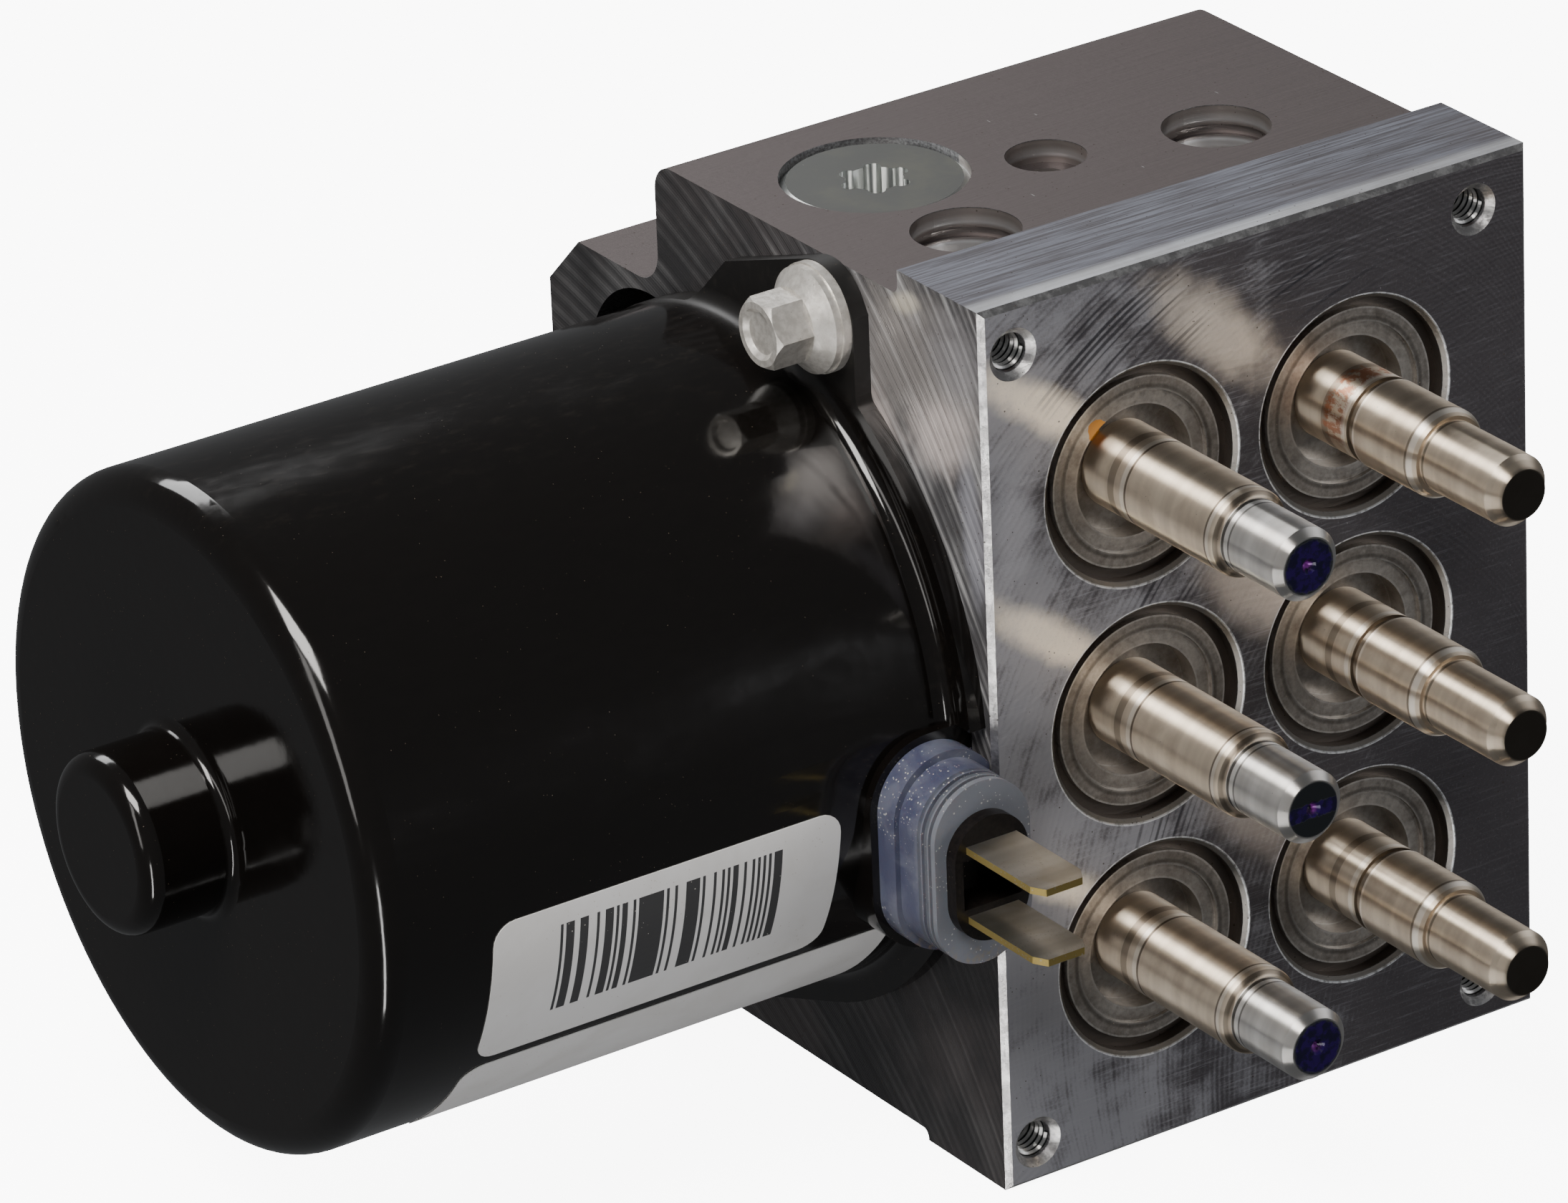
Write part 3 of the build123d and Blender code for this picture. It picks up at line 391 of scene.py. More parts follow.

# centre x and z, half sizes, turn, strength and colour of the painted reflections, light clouds on the valve
# face
faceReflections = [
    ((-26, 38.5), (14, 3.0), 0.62, 0.95, (1.0, 0.90, 0.76)),
    ((-26, 12.4), (13, 2.8), 0.62, 0.9, (1.0, 0.90, 0.76)),
    ((-4, 41.0), (13, 4.6), 0.75, 0.75, (0.85, 0.76, 0.66)),
    ((0, 10.0), (12, 4.6), 0.75, 0.65, (0.80, 0.72, 0.65)),
    ((-25, -16.5), (6, 2.6), 0.5, 0.9, (1.0, 0.92, 0.78)),
    ((-1, -16), (10, 4.0), 0.75, 0.5, (0.66, 0.60, 0.56)),
    ((-30, 26), (3.5, 9), 0.1, 0.45, (0.62, 0.62, 0.68)),
]

# the same for the painted reflections, with centre y and z on the motor side
sideReflections = [
    ((7.5, 35.0), (8, 5), 0.5, 0.95, (0.78, 0.69, 0.66)),
    ((13.4, 47.6), (3.2, 1.6), 0.3, 0.9, (0.80, 0.74, 0.62)),
    ((2.5, 26.0), (2.6, 10), 0.1, 0.7, (0.50, 0.50, 0.56)),
    ((19.0, 33.0), (4, 5), 0.8, 0.7, (0.66, 0.58, 0.55)),
    ((5.0, 44.0), (6, 6), 0.4, 0.5, (0.50, 0.49, 0.52)),
]

# centre and half sizes of the places where the cutter chattered on the valve face
scrapePatches = [
    ((-16, 43.5), (13, 8)),
    ((-11, 13.5), (6, 4.5)),
    ((-11, -14.5), (6, 4.5)),
    ((9, 43), (9, 5)),
]


def paintedReflectionCoats(tree, face, vector, patches):
    return [(times(tree, patchOn(tree, vector, centre, half, turn, 0.9), face), strength, tint)
            for centre, half, turn, strength, tint in patches]


def offMiddle(tree, value, strength):
    # noise is spread about 0.5, so this swings to both sides of nothing
    return times(tree, minus(tree, value, 0.5), strength)


def blockMaterial():
    look = blockLook
    material, tree, shader, place, xyz, normalVector = newMaterial("milledAluminium")
    normal = split(tree, normalVector)
    slope = [size(tree, part) for part in normal]
    faceXZ = joined(tree, xyz[0], xyz[2])
    sideYZ = joined(tree, xyz[1], xyz[2])

    # masks for its faces
    farOut = above(tree, size(tree, minus(tree, xyz[0], look["middleX"])), look["sideFromMiddle"])
    onSide = times(tree, rangeOf(tree, slope[0], 0.9, 0.97), farOut)
    onMotorSide = times(tree, onSide, below(tree, xyz[0], 0.0))
    onFace = times(tree, rangeOf(tree, normal[1], -0.9, -0.97), below(tree, xyz[1], look["faceDepth"]))
    onTop = times(tree, rangeOf(tree, normal[2], 0.9, 0.97), above(tree, xyz[2], look["topZ"]))
    onFlangeTop = times(tree, onTop, above(tree, xyz[2], look["flangeTopZ"]))
    onBevel = times(tree, below(tree, largest(tree, *slope), 0.85), below(tree, xyz[1], look["edgeDepth"]))
    inPort = minus(tree, 1.0, largest(tree, onTop, onSide, onFace))
    inPort = times(tree, inPort, between(tree, xyz[2], look["portZ"]), between(tree, xyz[1], look["portY"]))
    valve = placeGroup(tree, valvePlace, {"Vector": place})
    nearValve = below(tree, valve["Radius"], look["seatRadius"])
    smoothSide = times(tree, patchOn(tree, sideYZ, *look["smoothSide"], 0.0, 0.8), onMotorSide)

    # tool marks and dirt
    sideVector = joined(tree, minus(tree, xyz[1], look["sideCutterMiddleY"]), xyz[2], xyz[0])
    side = placeGroup(tree, cutterMarks, {"Vector": sideVector, **look["sideCutter"]})
    sideFine = placeGroup(tree, cutterMarks, {"Vector": sideVector, **look["sideFineCutter"]})
    faceVector = joined(tree, minus(tree, xyz[0], look["faceCutterMiddleX"]), xyz[2])
    front = placeGroup(tree, cutterMarks, {"Vector": faceVector, **look["faceCutter"]})
    backVector = scaled(tree, faceXZ, (1, 1, 1), (0, 0, 0), (0, 0, look["faceBackTurn"]))
    back = placeGroup(tree, cutterMarks, {"Vector": backVector, **look["faceBackCutter"]})
    drawn = noiseAt(tree, scaled(tree, place, (0.03, 1.0, 1.0)), 3.0, 4.0, 0.65)
    turned = placeGroup(tree, turnedRings, {"Place": xyz[2], "Pitch": 0.35})
    cloud = stainsOn(tree, place, 0.05, 0.46)
    mottle = stainsOn(tree, scaled(tree, place, (1, 1, 1), (31, 7, 12)), 0.14, 0.5)["Mottle"]
    grit = specksOn(tree, place, 1.5, 0.16, 0.8)
    nicks = nicksOn(tree, place, 0.45, 0.02)
    grain = noiseAt(tree, place, 3.5, 4.0, 0.7)

    sideHeight = plus(tree, times(tree, side["Lines"], 1.5), times(tree, sideFine["Lines"], 0.4))
    faceHeight = times(tree, plus(tree, front["Lines"], back["Lines"]), 0.15)
    height = mixValue(tree, onSide, times(tree, drawn, 0.4), sideHeight)
    height = mixValue(tree, onFace, height, faceHeight)
    height = plus(tree, height, times(tree, mottle, 0.12), times(tree, nicks, -0.5))
    height = mixValue(tree, inPort, height, times(tree, turned["Rings"], 0.25))

    # the cutter's coarse sweeps show as light and dark stripes on the motor side
    stripe = plus(tree, times(tree, side["Bands"], 0.6), times(tree, side["Lines"], 0.45),
                  times(tree, sideFine["Bands"], 0.25), offMiddle(tree, noiseAt(tree, place, 0.13, 3.0), 0.7))
    # painted shade: the motor side darkens towards its bottom and towards its far end
    lowSideShade = largest(tree, rangeOf(tree, xyz[2], 16.0, -12.0, 0.0, 0.9),
                      rangeOf(tree, xyz[1], 26.0, 44.0, 0.0, 0.8))
    sideTone = paint(tree, look["sideDark"],
                     (rangeOf(tree, stripe, 0.42, 0.95), 1, look["sidePale"]),
                     (times(tree, lowSideShade, onMotorSide), 1, look["sideShade"]),
                     # a real smoother patch; its pale colour is painted sheen
                     (smoothSide, 0.6, look["smooth"]))
    # the motor side's pale clouds are painted reflections
    colour = paint(tree, look["hidden"],
                   (rangeOf(tree, grain, 0.3, 0.7), 1, look["sideDark"]),
                   (onSide, 1, sideTone),
                   *paintedReflectionCoats(tree, onMotorSide, sideYZ, sideReflections))

    # painted light and shade: the valve face goes from lit pale at the motor side to shaded slate grey at the
    # far lower corner, broken up by noise and the cutter's bands
    run = plus(tree, times(tree, xyz[0], 0.022), times(tree, xyz[2], 0.002),
               offMiddle(tree, noiseAt(tree, place, 0.16, 4.0, 0.6), 2.2),
               offMiddle(tree, front["Bands"], 0.6), offMiddle(tree, grain, 0.9),
               times(tree, minus(tree, back["Lines"], 0.25), 0.45))
    faceLitToShaded = mixColour(tree, rangeOf(tree, run, -0.75, 0.1), look["pale"], look["slate"])
    colour = paint(tree, colour, (onFace, 1, faceLitToShaded))
    brushedLess = rangeOf(tree, xyz[0], -8.0, 34.0, 1.0, 0.25)
    for turn, share in look["brushing"]:
        brushed = scaled(tree, faceXZ, (0.09, 2.6, 1), (turn * 9, 0, 0), (0, 0, turn))
        line = rangeOf(tree, noiseAt(tree, brushed, 1.0, 4.0, 0.7), 0.53, 0.68)
        area = noiseAt(tree, scaled(tree, place, (1, 1, 1), (turn * 40, 0, 0)), 0.12, 2.0)
        line = times(tree, line, brushedLess, rangeOf(tree, area, 0.4, 0.6), onFace)
        colour = paint(tree, colour, (line, share, look["brushed"]))
    chatter = largest(tree, *[patchOn(tree, faceXZ, *patch, 0.0, 1.2) for patch in scrapePatches])
    scrape = times(tree, rangeOf(tree, back["Lines"], 0.22, 0.45), rangeOf(tree, back["Bands"], 0.38, 0.52),
                   chatter, onFace)
    # painted reflections: cream clouds on the valve face
    colour = paint(tree, colour, *paintedReflectionCoats(tree, onFace, faceXZ, faceReflections),
                   (scrape, 0.85, look["scrape"]),
                   (times(tree, onFace, rangeOf(tree, grain, 0.52, 0.75)), 0.3, look["pale"]))

    flangeTone = mixColour(tree, rangeOf(tree, drawn, 0.35, 0.65), look["flangeTop"], look["flangeStreak"])
    colour = paint(tree, colour,
                   (onTop, 1, look["topSkin"]),
                   (onFlangeTop, 1, flangeTone),
                   # painted highlight along the front edge of the flange top
                   (times(tree, onFlangeTop, rangeOf(tree, xyz[1], 3.4, 1.6)), 0.5, look["bright"]),
                   (times(tree, cloud["Cloud"], minus(tree, 1.0, onFace)), 0.3, look["topSkin"]))

    # turned walls of the ports, with a brown ring where the seal sits
    portTone = paint(tree, look["bore"],
                     (rangeOf(tree, turned["Bands"], 0.35, 0.65), 1, look["bright"]),
                     (bandAt(tree, xyz[2], look["sealRingZ"], 0.7, 0.5), 0.7, look["boreBrown"]))

    # painted highlights: the block's own front bevels are lit pale, patchily, and a thin bright line rings
    # each valve seat's lip; painted shade darkens inside the seats
    seat = times(tree, nearValve, rangeOf(tree, xyz[1], 0.4, 0.8), below(tree, xyz[1], look["seatDepth"]))
    paintedEdgeHighlight = times(tree, onBevel, rangeOf(tree, mottle, 0.3, 0.5, 0.55, 1.0))
    edgeTone = mixColour(tree, rangeOf(tree, cloud["Mottle"], 0.42, 0.62), look["edge"], look["edgeHighlight"])
    lip = times(tree, bandAt(tree, valve["Radius"], look["lipRadius"], 0.07, 0.09),
                below(tree, xyz[1], look["faceDepth"]), rangeOf(tree, mottle, 0.35, 0.55, 0.25, 0.9))
    colour = paint(tree, colour,
                   (inPort, 1, portTone),
                   (seat, 1, look["seatShade"]),
                   (paintedEdgeHighlight, 1, mixColour(tree, nearValve, edgeTone, look["rim"])),
                   (lip, 1, look["bright"]),
                   (nicks, 0.35, look["bright"]),
                   (grit, 0.75, look["grit"]))

    metal = mixValue(tree, onFace, 0.85, 0.5)
    metal = mixValue(tree, onSide, metal, mixValue(tree, smoothSide, 0.35, 0.62))
    metal = mixValue(tree, onBevel, metal, 1.0)
    rough = mixValue(tree, onSide, 0.4, mixValue(tree, side["Bands"], 0.3, 0.5))
    rough = mixValue(tree, smoothSide, rough, 0.22)
    rough = mixValue(tree, onFace, rough, mixValue(tree, cloud["Mottle"], 0.26, 0.5))
    rough = mixValue(tree, onTop, rough, mixValue(tree, drawn, 0.4, 0.58))
    rough = mixValue(tree, inPort, rough, 0.28)
    rough = mixValue(tree, times(tree, onBevel, minus(tree, 1.0, nearValve)), rough, 0.32)
    rough = plus(tree, rough, times(tree, grit, 0.3))
    wire(tree, shader, {"Base Color": colour, "Metallic": metal, "Roughness": rough,
                        "Normal": bumpFrom(tree, height, look["bumpDepth"])})
    return material


def finishNode(name, material):
    nodes[name].data.materials.clear()
    nodes[name].data.materials.append(material)


finishNode("valve_block", blockMaterial())
print("block ready")


# finishes of the motor and the small pieces

canLook = {
    "black": (0.0028, 0.0022, 0.0019),
    "smeared": (0.0075, 0.0062, 0.0052),
    "settled": (0.20, 0.16, 0.12),
    "dust": (0.16, 0.12, 0.08),
    "lint": (0.2, 0.17, 0.13),
    "upwardZ": (33.5, 37.2),
    "nearPlateX": (-40.0, -35.0),
    "dustyZ": (32.0, 36.0),
}


def canMaterial():
    look = canLook
    material, tree, shader, place, xyz, normalVector = newMaterial("glossBlackPaint")
    peel = noiseAt(tree, place, 0.55, 2.0, 0.4)
    smear = stainsOn(tree, scaled(tree, place, (0.4, 1, 1)), 0.09, 0.5)
    dust = specksOn(tree, place, 2.2, 0.12, 0.35)
    lint = nicksOn(tree, place, 0.6, 0.014)
    # dust settles on the upward side and along the mounting plate
    upward = rangeOf(tree, xyz[2], *look["upwardZ"])
    nearPlate = rangeOf(tree, xyz[0], *look["nearPlateX"])
    settled = times(tree, largest(tree, times(tree, upward, 0.4), times(tree, nearPlate, 0.3)),
                    rangeOf(tree, smear["Mottle"], 0.5, 0.8))
    colour = paint(tree, look["black"],
                   (smear["Mottle"], 0.3, look["smeared"]),
                   (settled, 0.08, look["settled"]),
                   (dust, 0.4, look["dust"]),
                   (lint, 0.12, look["lint"]))
    # beside the plate, above the bolt's height, it takes the gloss away
    dusty = times(tree, nearPlate, rangeOf(tree, xyz[2], *look["dustyZ"]), 0.4)
    rough = plus(tree, mixValue(tree, smear["Cloud"], 0.1, 0.16), times(tree, dust, 0.4),
                 times(tree, settled, 0.08), dusty)
    wire(tree, shader, {"Base Color": colour, "Roughness": rough,
                        "Normal": bumpFrom(tree, peel, 0.00002, 0.5)})
    return material


steelLook = {
    "tintShare": 0.35,
    "axis": 1,
    "bump": 0.6,
    "dirt": 0.5,
    "roundStem": False,
    "marks": (),
    "nick": (0.85, 0.84, 0.82),
    "grit": (0.10, 0.07, 0.05),
    "bumpDepth": 0.00002,
}


def steelMaterial(name, ownLook):
    look = {**steelLook, **ownLook}
    axis = look["axis"]
    material, tree, shader, place, xyz, normalVector = newMaterial(name)
    rings = placeGroup(tree, turnedRings, {"Place": xyz[axis], "Pitch": look["pitch"]})
    cloud = stainsOn(tree, place, 0.22, 0.5)
    grit = specksOn(tree, place, 2.4, 0.13, look["dirt"])
    nicks = nicksOn(tree, place, 0.55, 0.013)
    colour = paint(tree, look["dark"],
                   (rangeOf(tree, rings["Bands"], 0.3, 0.7), 1, look["light"]),
                   (cloud["Cloud"], look["tintShare"], look["tint"]),
                   (nicks, 0.25, look["nick"]),
                   (grit, 0.6, look["grit"]),
                   # ring lines: painted highlights at the ring edges and painted shade in the grooves and
                   # joints
                   *[(bandAt(tree, xyz[axis], where, half, 0.1), strength, tone)
                     for where, half, strength, tone in look["marks"]])
    rough = mixValue(tree, cloud["Mottle"], look["rough"] * 0.93, look["rough"] * 1.07)
    height = minus(tree, rings["Rings"], times(tree, nicks, 0.5))
    # the lathe's grooves spread the light along the axis; a flat end has no such way, so it takes the offset
    axisVector = [float(index == axis) for index in range(3)]
    groove = vectorMaths(tree, "CROSS_PRODUCT", normalVector, axisVector)
    spread = vectorMaths(tree, "CROSS_PRODUCT", groove, normalVector)
    spread = vectorMaths(tree, "ADD", spread, (0.02, 0.015, 0.01))
    smooth = {}
    if look["roundStem"]:
        # the facets of a stem's long sides are smoothed by pointing the normal straight out from its axis
        valve = placeGroup(tree, valvePlace, {"Vector": place})
        out = joined(tree, minus(tree, xyz[0], valve["AxisX"]), 0.0, valve["Height"])
        out = vectorMaths(tree, "NORMALIZE", out)
        lean = rangeOf(tree, size(tree, split(tree, normalVector)[1]), 0.05, 0.02)
        smooth["Normal"] = addNode(tree, "Mix", {0: lean, 4: normalVector, 5: out},
                                   data_type="VECTOR").outputs[1]
    bumped = bumpFrom(tree, height, look["bumpDepth"], look["bump"], **smooth)
    wire(tree, shader, {"Base Color": colour, "Metallic": 1.0, "Roughness": rough, "Anisotropic": 1.0,
                        "Tangent": spread, "Normal": bumped})
    return material, tree, shader, place, xyz, colour


# y, half width, strength and colour of the ring lines on the stems: the pale ones are painted highlights at
# the ring edges, the dark ones painted shade in the grooves and at the joints
sleeveRingLight = [
    (-2.9, 0.28, 0.7, (0.95, 0.88, 0.78)), (-3.45, 0.10, 0.8, (0.08, 0.055, 0.04)),
    (-1.0, 0.5, 0.55, (0.12, 0.085, 0.06)), (-17.2, 0.08, 0.75, (0.09, 0.065, 0.045)),
    (-17.6, 0.2, 0.6, (0.95, 0.89, 0.8)), (-18.6, 0.12, 0.7, (0.08, 0.06, 0.045)),
]
coreRingLight = [
    (-19.15, 0.16, 0.85, (0.05, 0.045, 0.04)), (-19.7, 0.25, 0.7, (0.98, 0.96, 0.93)),
    (-20.15, 0.08, 0.7, (0.10, 0.09, 0.08)),
]
shellRingLight = [
    (-4.15, 0.3, 0.7, (0.97, 0.90, 0.80)), (-5.3, 0.4, 0.65, (0.10, 0.075, 0.055)),
    (-6.0, 0.22, 0.6, (0.96, 0.88, 0.78)), (-1.0, 0.5, 0.5, (0.12, 0.085, 0.06)),
    (-14.9, 0.12, 0.6, (0.12, 0.09, 0.065)), (-15.4, 0.3, 0.6, (0.97, 0.92, 0.84)),
    (-16.6, 0.12, 0.65, (0.09, 0.07, 0.05)),
]

sleeveLook = {
    "light": (0.80, 0.69, 0.55), "dark": (0.66, 0.56, 0.44), "tint": (0.42, 0.32, 0.23), "rough": 0.42,
    "pitch": 0.3, "tintShare": 0.3, "bump": 0.12, "dirt": 0.3, "roundStem": True, "marks": sleeveRingLight,
}

shellLook = {
    **sleeveLook, "marks": shellRingLight,
    "rust": (0.42, 0.15, 0.07),
    "tipShade": (0.03, 0.028, 0.026),
    "neckY": -2.4,
    "rustyNeckZ": (24.0, 27.0),
    "rustyNeckX": 16.0,
    "recessRadius": (2.6, 3.1),
}


def shellMaterial():
    # rust tints the neck of the upper valve, and the hollow in each tip is painted dark as shade
    look = shellLook
    material, tree, shader, place, xyz, colour = steelMaterial("tintedShell", look)
    rust = noiseAt(tree, scaled(tree, place, (1.0, 0.8, 1.6)), 0.75, 5.0, 0.7)
    neck = times(tree, bandAt(tree, xyz[1], look["neckY"], 1.2, 0.9),
                 rangeOf(tree, xyz[2], *look["rustyNeckZ"]), below(tree, xyz[0], look["rustyNeckX"]))
    radius = placeGroup(tree, valvePlace, {"Vector": place})["Radius"]
    onTip = times(tree, rangeOf(tree, xyz[1], stemTipY + 0.5, stemTipY + 0.2),
                  rangeOf(tree, radius, *look["recessRadius"], 1.0, 0.0))
    wire(tree, shader, {"Base Color": paint(
        tree, colour, (times(tree, rangeOf(tree, rust, 0.44, 0.56), neck), 0.8, look["rust"]),
        (onTip, 0.9, look["tipShade"]))})
    return material


coreLook = {
    "light": (0.84, 0.82, 0.79), "dark": (0.66, 0.64, 0.61), "tint": (0.50, 0.44, 0.37), "rough": 0.35,
    "pitch": 0.3, "tintShare": 0.2, "bump": 0.15, "dirt": 0.3, "roundStem": True, "marks": coreRingLight,
    "ink": (0.012, 0.002, 0.06),
    "inkDark": (0.004, 0.003, 0.02),
    "inkPale": (0.36, 0.05, 0.46),
    "end": (0.075, 0.082, 0.088),
    "endPale": (0.7, 0.7, 0.68),
    "endDepth": 0.95,
    "outerRowsZ": 13.0,
}


def coreMaterial():
    # blue ink covers the end faces of the outer two rows and crosses the middle one as a stripe
    look = coreLook
    material, tree, shader, place, xyz, colour = steelMaterial("inkedSteel", look)
    valve = placeGroup(tree, valvePlace, {"Vector": place})
    wobble = offMiddle(tree, noiseAt(tree, place, 1.4, 3.0), 0.8)
    onEnd = times(tree, below(tree, xyz[1], stemTipY + look["endDepth"]),
                  rangeOf(tree, valve["Radius"], 2.95, 3.15, 1.0, 0.0))
    stripe = bandAt(tree, plus(tree, valve["Height"], wobble), -0.1, 0.75, 0.15)
    full = rangeOf(tree, plus(tree, valve["Radius"], times(tree, wobble, 1.2)), 2.7, 3.1, 1.0, 0.0)
    shown = mixValue(tree, above(tree, size(tree, xyz[2]), look["outerRowsZ"]), stripe, full)
    inked = times(tree, onEnd, shown)
    middle = rangeOf(tree, valve["Radius"], 0.15, 0.75, 1.0, 0.0)
    patchy = rangeOf(tree, noiseAt(tree, place, 1.1, 3.0), 0.4, 0.6)
    inkTone = paint(tree, look["ink"], (middle, 1, look["inkPale"]), (patchy, 1, look["inkDark"]))
    endTone = mixColour(tree, middle, look["end"], look["endPale"])
    wire(tree, shader, {"Base Color": paint(tree, colour, (onEnd, 1, endTone), (inked, 1, inkTone)),
                        "Metallic": mixValue(tree, inked, 1.0, 0.2),
                        "Roughness": mixValue(tree, onEnd, 0.38, 0.16)})
    return material


collarLook = {
    "dark": (0.15, 0.132, 0.115),
    "light": (0.56, 0.52, 0.47),
    "oil": (0.12, 0.085, 0.058),
    "edgeHighlightTone": (0.60, 0.57, 0.53),
    "gap": (0.035, 0.028, 0.022),
    "deepShade": (0.04, 0.036, 0.032),
    "nick": (0.6, 0.56, 0.5),
    "grit": (0.5, 0.42, 0.32),
    "flake": (0.62, 0.25, 0.03),
    "edgeHighlights": ((10.55, 0.08, 0.7), (9.0, 0.12, 0.6), (7.35, 0.08, 0.5)),  # radius, half width, strength
    "gapRadius": 9.3,
    "deepY": (3.0, 6.0),
    "flakePlace": ((-17.7, 32.5), (1.5, 2.6), -0.7),  # x and z of its centre, half sizes, turn
}


def collarMaterial():
    # rings of scale and oil round each stem, with painted highlights on the edges of the steps and painted
    # shade in the gap between steps and deeper in the well
    look = collarLook
    material, tree, shader, place, xyz, normalVector = newMaterial("stakedCollar")
    radius = placeGroup(tree, valvePlace, {"Vector": place})["Radius"]
    rings = placeGroup(tree, turnedRings, {"Place": radius, "Pitch": 1.3})
    cloud = stainsOn(tree, place, 0.16, 0.47)
    tone = plus(tree, times(tree, rings["Bands"], 0.8), times(tree, cloud["Mottle"], 0.3))
    highlightShare = rangeOf(tree, cloud["Mottle"], 0.3, 0.55, 0.35, 1.0)
    paintedEdgeHighlight = [(times(tree, bandAt(tree, radius, edgeRadius, half, 0.14), highlightShare), strength, look["edgeHighlightTone"])
            for edgeRadius, half, strength in look["edgeHighlights"]]
    # an orange flake of sealing paint on the upper collar beside the motor
    flake = patchOn(tree, joined(tree, xyz[0], xyz[2]), *look["flakePlace"], 1.4)
    flake = above(tree, flake, 0.35)
    colour = paint(tree, look["dark"],
                   (rangeOf(tree, tone, 0.38, 0.78), 1, look["light"]),
                   (cloud["Cloud"], 0.3, look["oil"]),
                   *paintedEdgeHighlight,
                   # painted shade: a dark ring in the gap between the steps, and darker deeper in the well
                   (bandAt(tree, radius, look["gapRadius"], 0.1, 0.35), 0.5, look["gap"]),
                   (rangeOf(tree, xyz[1], *look["deepY"]), 0.6, look["deepShade"]),
                   (nicksOn(tree, place, 0.7, 0.02), 0.4, look["nick"]),
                   (specksOn(tree, place, 2.0, 0.18, 0.9), 0.7, look["grit"]),
                   (flake, 1, look["flake"]))
    height = plus(tree, times(tree, rings["Rings"], 0.7), times(tree, cloud["Mottle"], 0.5), flake)
    wire(tree, shader, {"Base Color": colour, "Metallic": mixValue(tree, flake, 0.9, 0.0),
                        "Roughness": mixValue(tree, cloud["Mottle"], 0.26, 0.5),
                        "Normal": bumpFrom(tree, height, 0.00006, 0.7)})
    return material


plugLook = {
    "light": (0.075, 0.078, 0.076), "dark": (0.05, 0.05, 0.05), "tint": (0.11, 0.11, 0.09), "rough": 0.36,
    "pitch": 0.3, "tintShare": 0.3, "axis": 2, "bump": 0.3,
    "cut": (0.80, 0.82, 0.80),
}

bladeLook = {
    "light": (0.88, 0.85, 0.77), "dark": (0.62, 0.59, 0.51), "tint": (0.58, 0.50, 0.35), "rough": 0.3,
    "pitch": 0.5,
    "sheared": (0.66, 0.50, 0.17),
    "dust": (0.66, 0.62, 0.54),
}


def steepness(tree):
    # the height share of the surface's direction: 1 on a level flat, 0 on an upright wall
    normal = addNode(tree, "TexCoord").outputs["Normal"]
    return size(tree, split(tree, normal)[2])


def plugMaterial():
    # dark plate on the flats, bright metal on the chamfer and in the socket
    material, tree, shader, place, xyz, colour = steelMaterial("darkZincPlug", plugLook)
    turnedAway = rangeOf(tree, steepness(tree), 0.97, 0.85)
    wire(tree, shader, {"Base Color": mixColour(tree, turnedAway, colour, plugLook["cut"])})
    return material


def bladeMaterial():
    # tin on the flats, bare brass where the edges were sheared, dust on top
    material, tree, shader, place, xyz, colour = steelMaterial("tinnedBrass", bladeLook)
    wire(tree, shader, {"Base Color": paint(
        tree, colour, (rangeOf(tree, steepness(tree), 0.75, 0.55), 1, bladeLook["sheared"]),
        (specksOn(tree, place, 2.6, 0.34, 2.5), 0.6, bladeLook["dust"]))})
    return material


grommetLook = {
    "pad": (0.055, 0.06, 0.105),
    "ring": (0.145, 0.155, 0.18),
    "milky": (0.19, 0.20, 0.235),
    "groove": (0.03, 0.035, 0.045),
    "brown": (0.28, 0.21, 0.09),
    "dust": (0.62, 0.60, 0.55),
    "padToRingY": (-1.2, -4.6),
    "groovesY": (-2.5, -3.7),
    "brownZ": (-14.5, -19.5),
}


def rubberMaterial():
    # milky grommet: slate blue at the pad, paler towards its front ring
    look = grommetLook
    material, tree, shader, place, xyz, normalVector = newMaterial("milkyGrommet")
    cloud = stainsOn(tree, place, 0.2, 0.45)
    dust = largest(tree, specksOn(tree, place, 2.6, 0.3, 2.5), nicksOn(tree, place, 0.9, 0.03))
    brown = times(tree, rangeOf(tree, xyz[2], *look["brownZ"]), rangeOf(tree, cloud["Mottle"], 0.45, 0.7))
    # painted shade: dark bands in the two grooves
    grooves = [(bandAt(tree, xyz[1], grooveY, 0.2, 0.15), 0.55, look["groove"])
               for grooveY in look["groovesY"]]
    colour = paint(tree, look["pad"],
                   (rangeOf(tree, xyz[1], *look["padToRingY"]), 1, look["ring"]),
                   (cloud["Cloud"], 0.35, look["milky"]),
                   *grooves,
                   (brown, 0.6, look["brown"]),
                   (dust, 0.55, look["dust"]))
    wire(tree, shader, {
        "Base Color": colour, "Roughness": mixValue(tree, cloud["Mottle"], 0.25, 0.45),
        "Subsurface Weight": 0.1, "Subsurface Scale": 0.002, "Coat Weight": 0.3, "Coat Roughness": 0.2,
        "Normal": bumpFrom(tree, cloud["Mottle"], 0.00004, 0.5)})
    return material


def dullMaterial(name, light, dark, rough, grain=1.2, metallic=0.0, bump=0.00004, specular=0.5):
    material, tree, shader, place, xyz, normalVector = newMaterial(name)
    cloud = stainsOn(tree, place, 0.12, 0.45)
    fine = noiseAt(tree, place, grain, 4.0, 0.6)
    colour = paint(tree, dark, (rangeOf(tree, fine, 0.35, 0.65), 1, light), (cloud["Cloud"], 0.3, dark),
                   (specksOn(tree, place, 2.4, 0.16, 0.8), 0.6, (0.3, 0.26, 0.2)))
    wire(tree, shader, {"Base Color": colour, "Metallic": metallic, "Specular IOR Level": specular,
                        "Roughness": mixValue(tree, cloud["Mottle"], rough * 0.85, rough * 1.15),
                        "Normal": bumpFrom(tree, fine, bump, 0.6)})
    return material


innerLook = {
    "light": (0.6, 0.6, 0.6), "dark": (0.48, 0.48, 0.48), "tint": (0.45, 0.42, 0.4), "rough": 0.28,
    "pitch": 0.2, "tintShare": 0.3, "axis": 0,
}

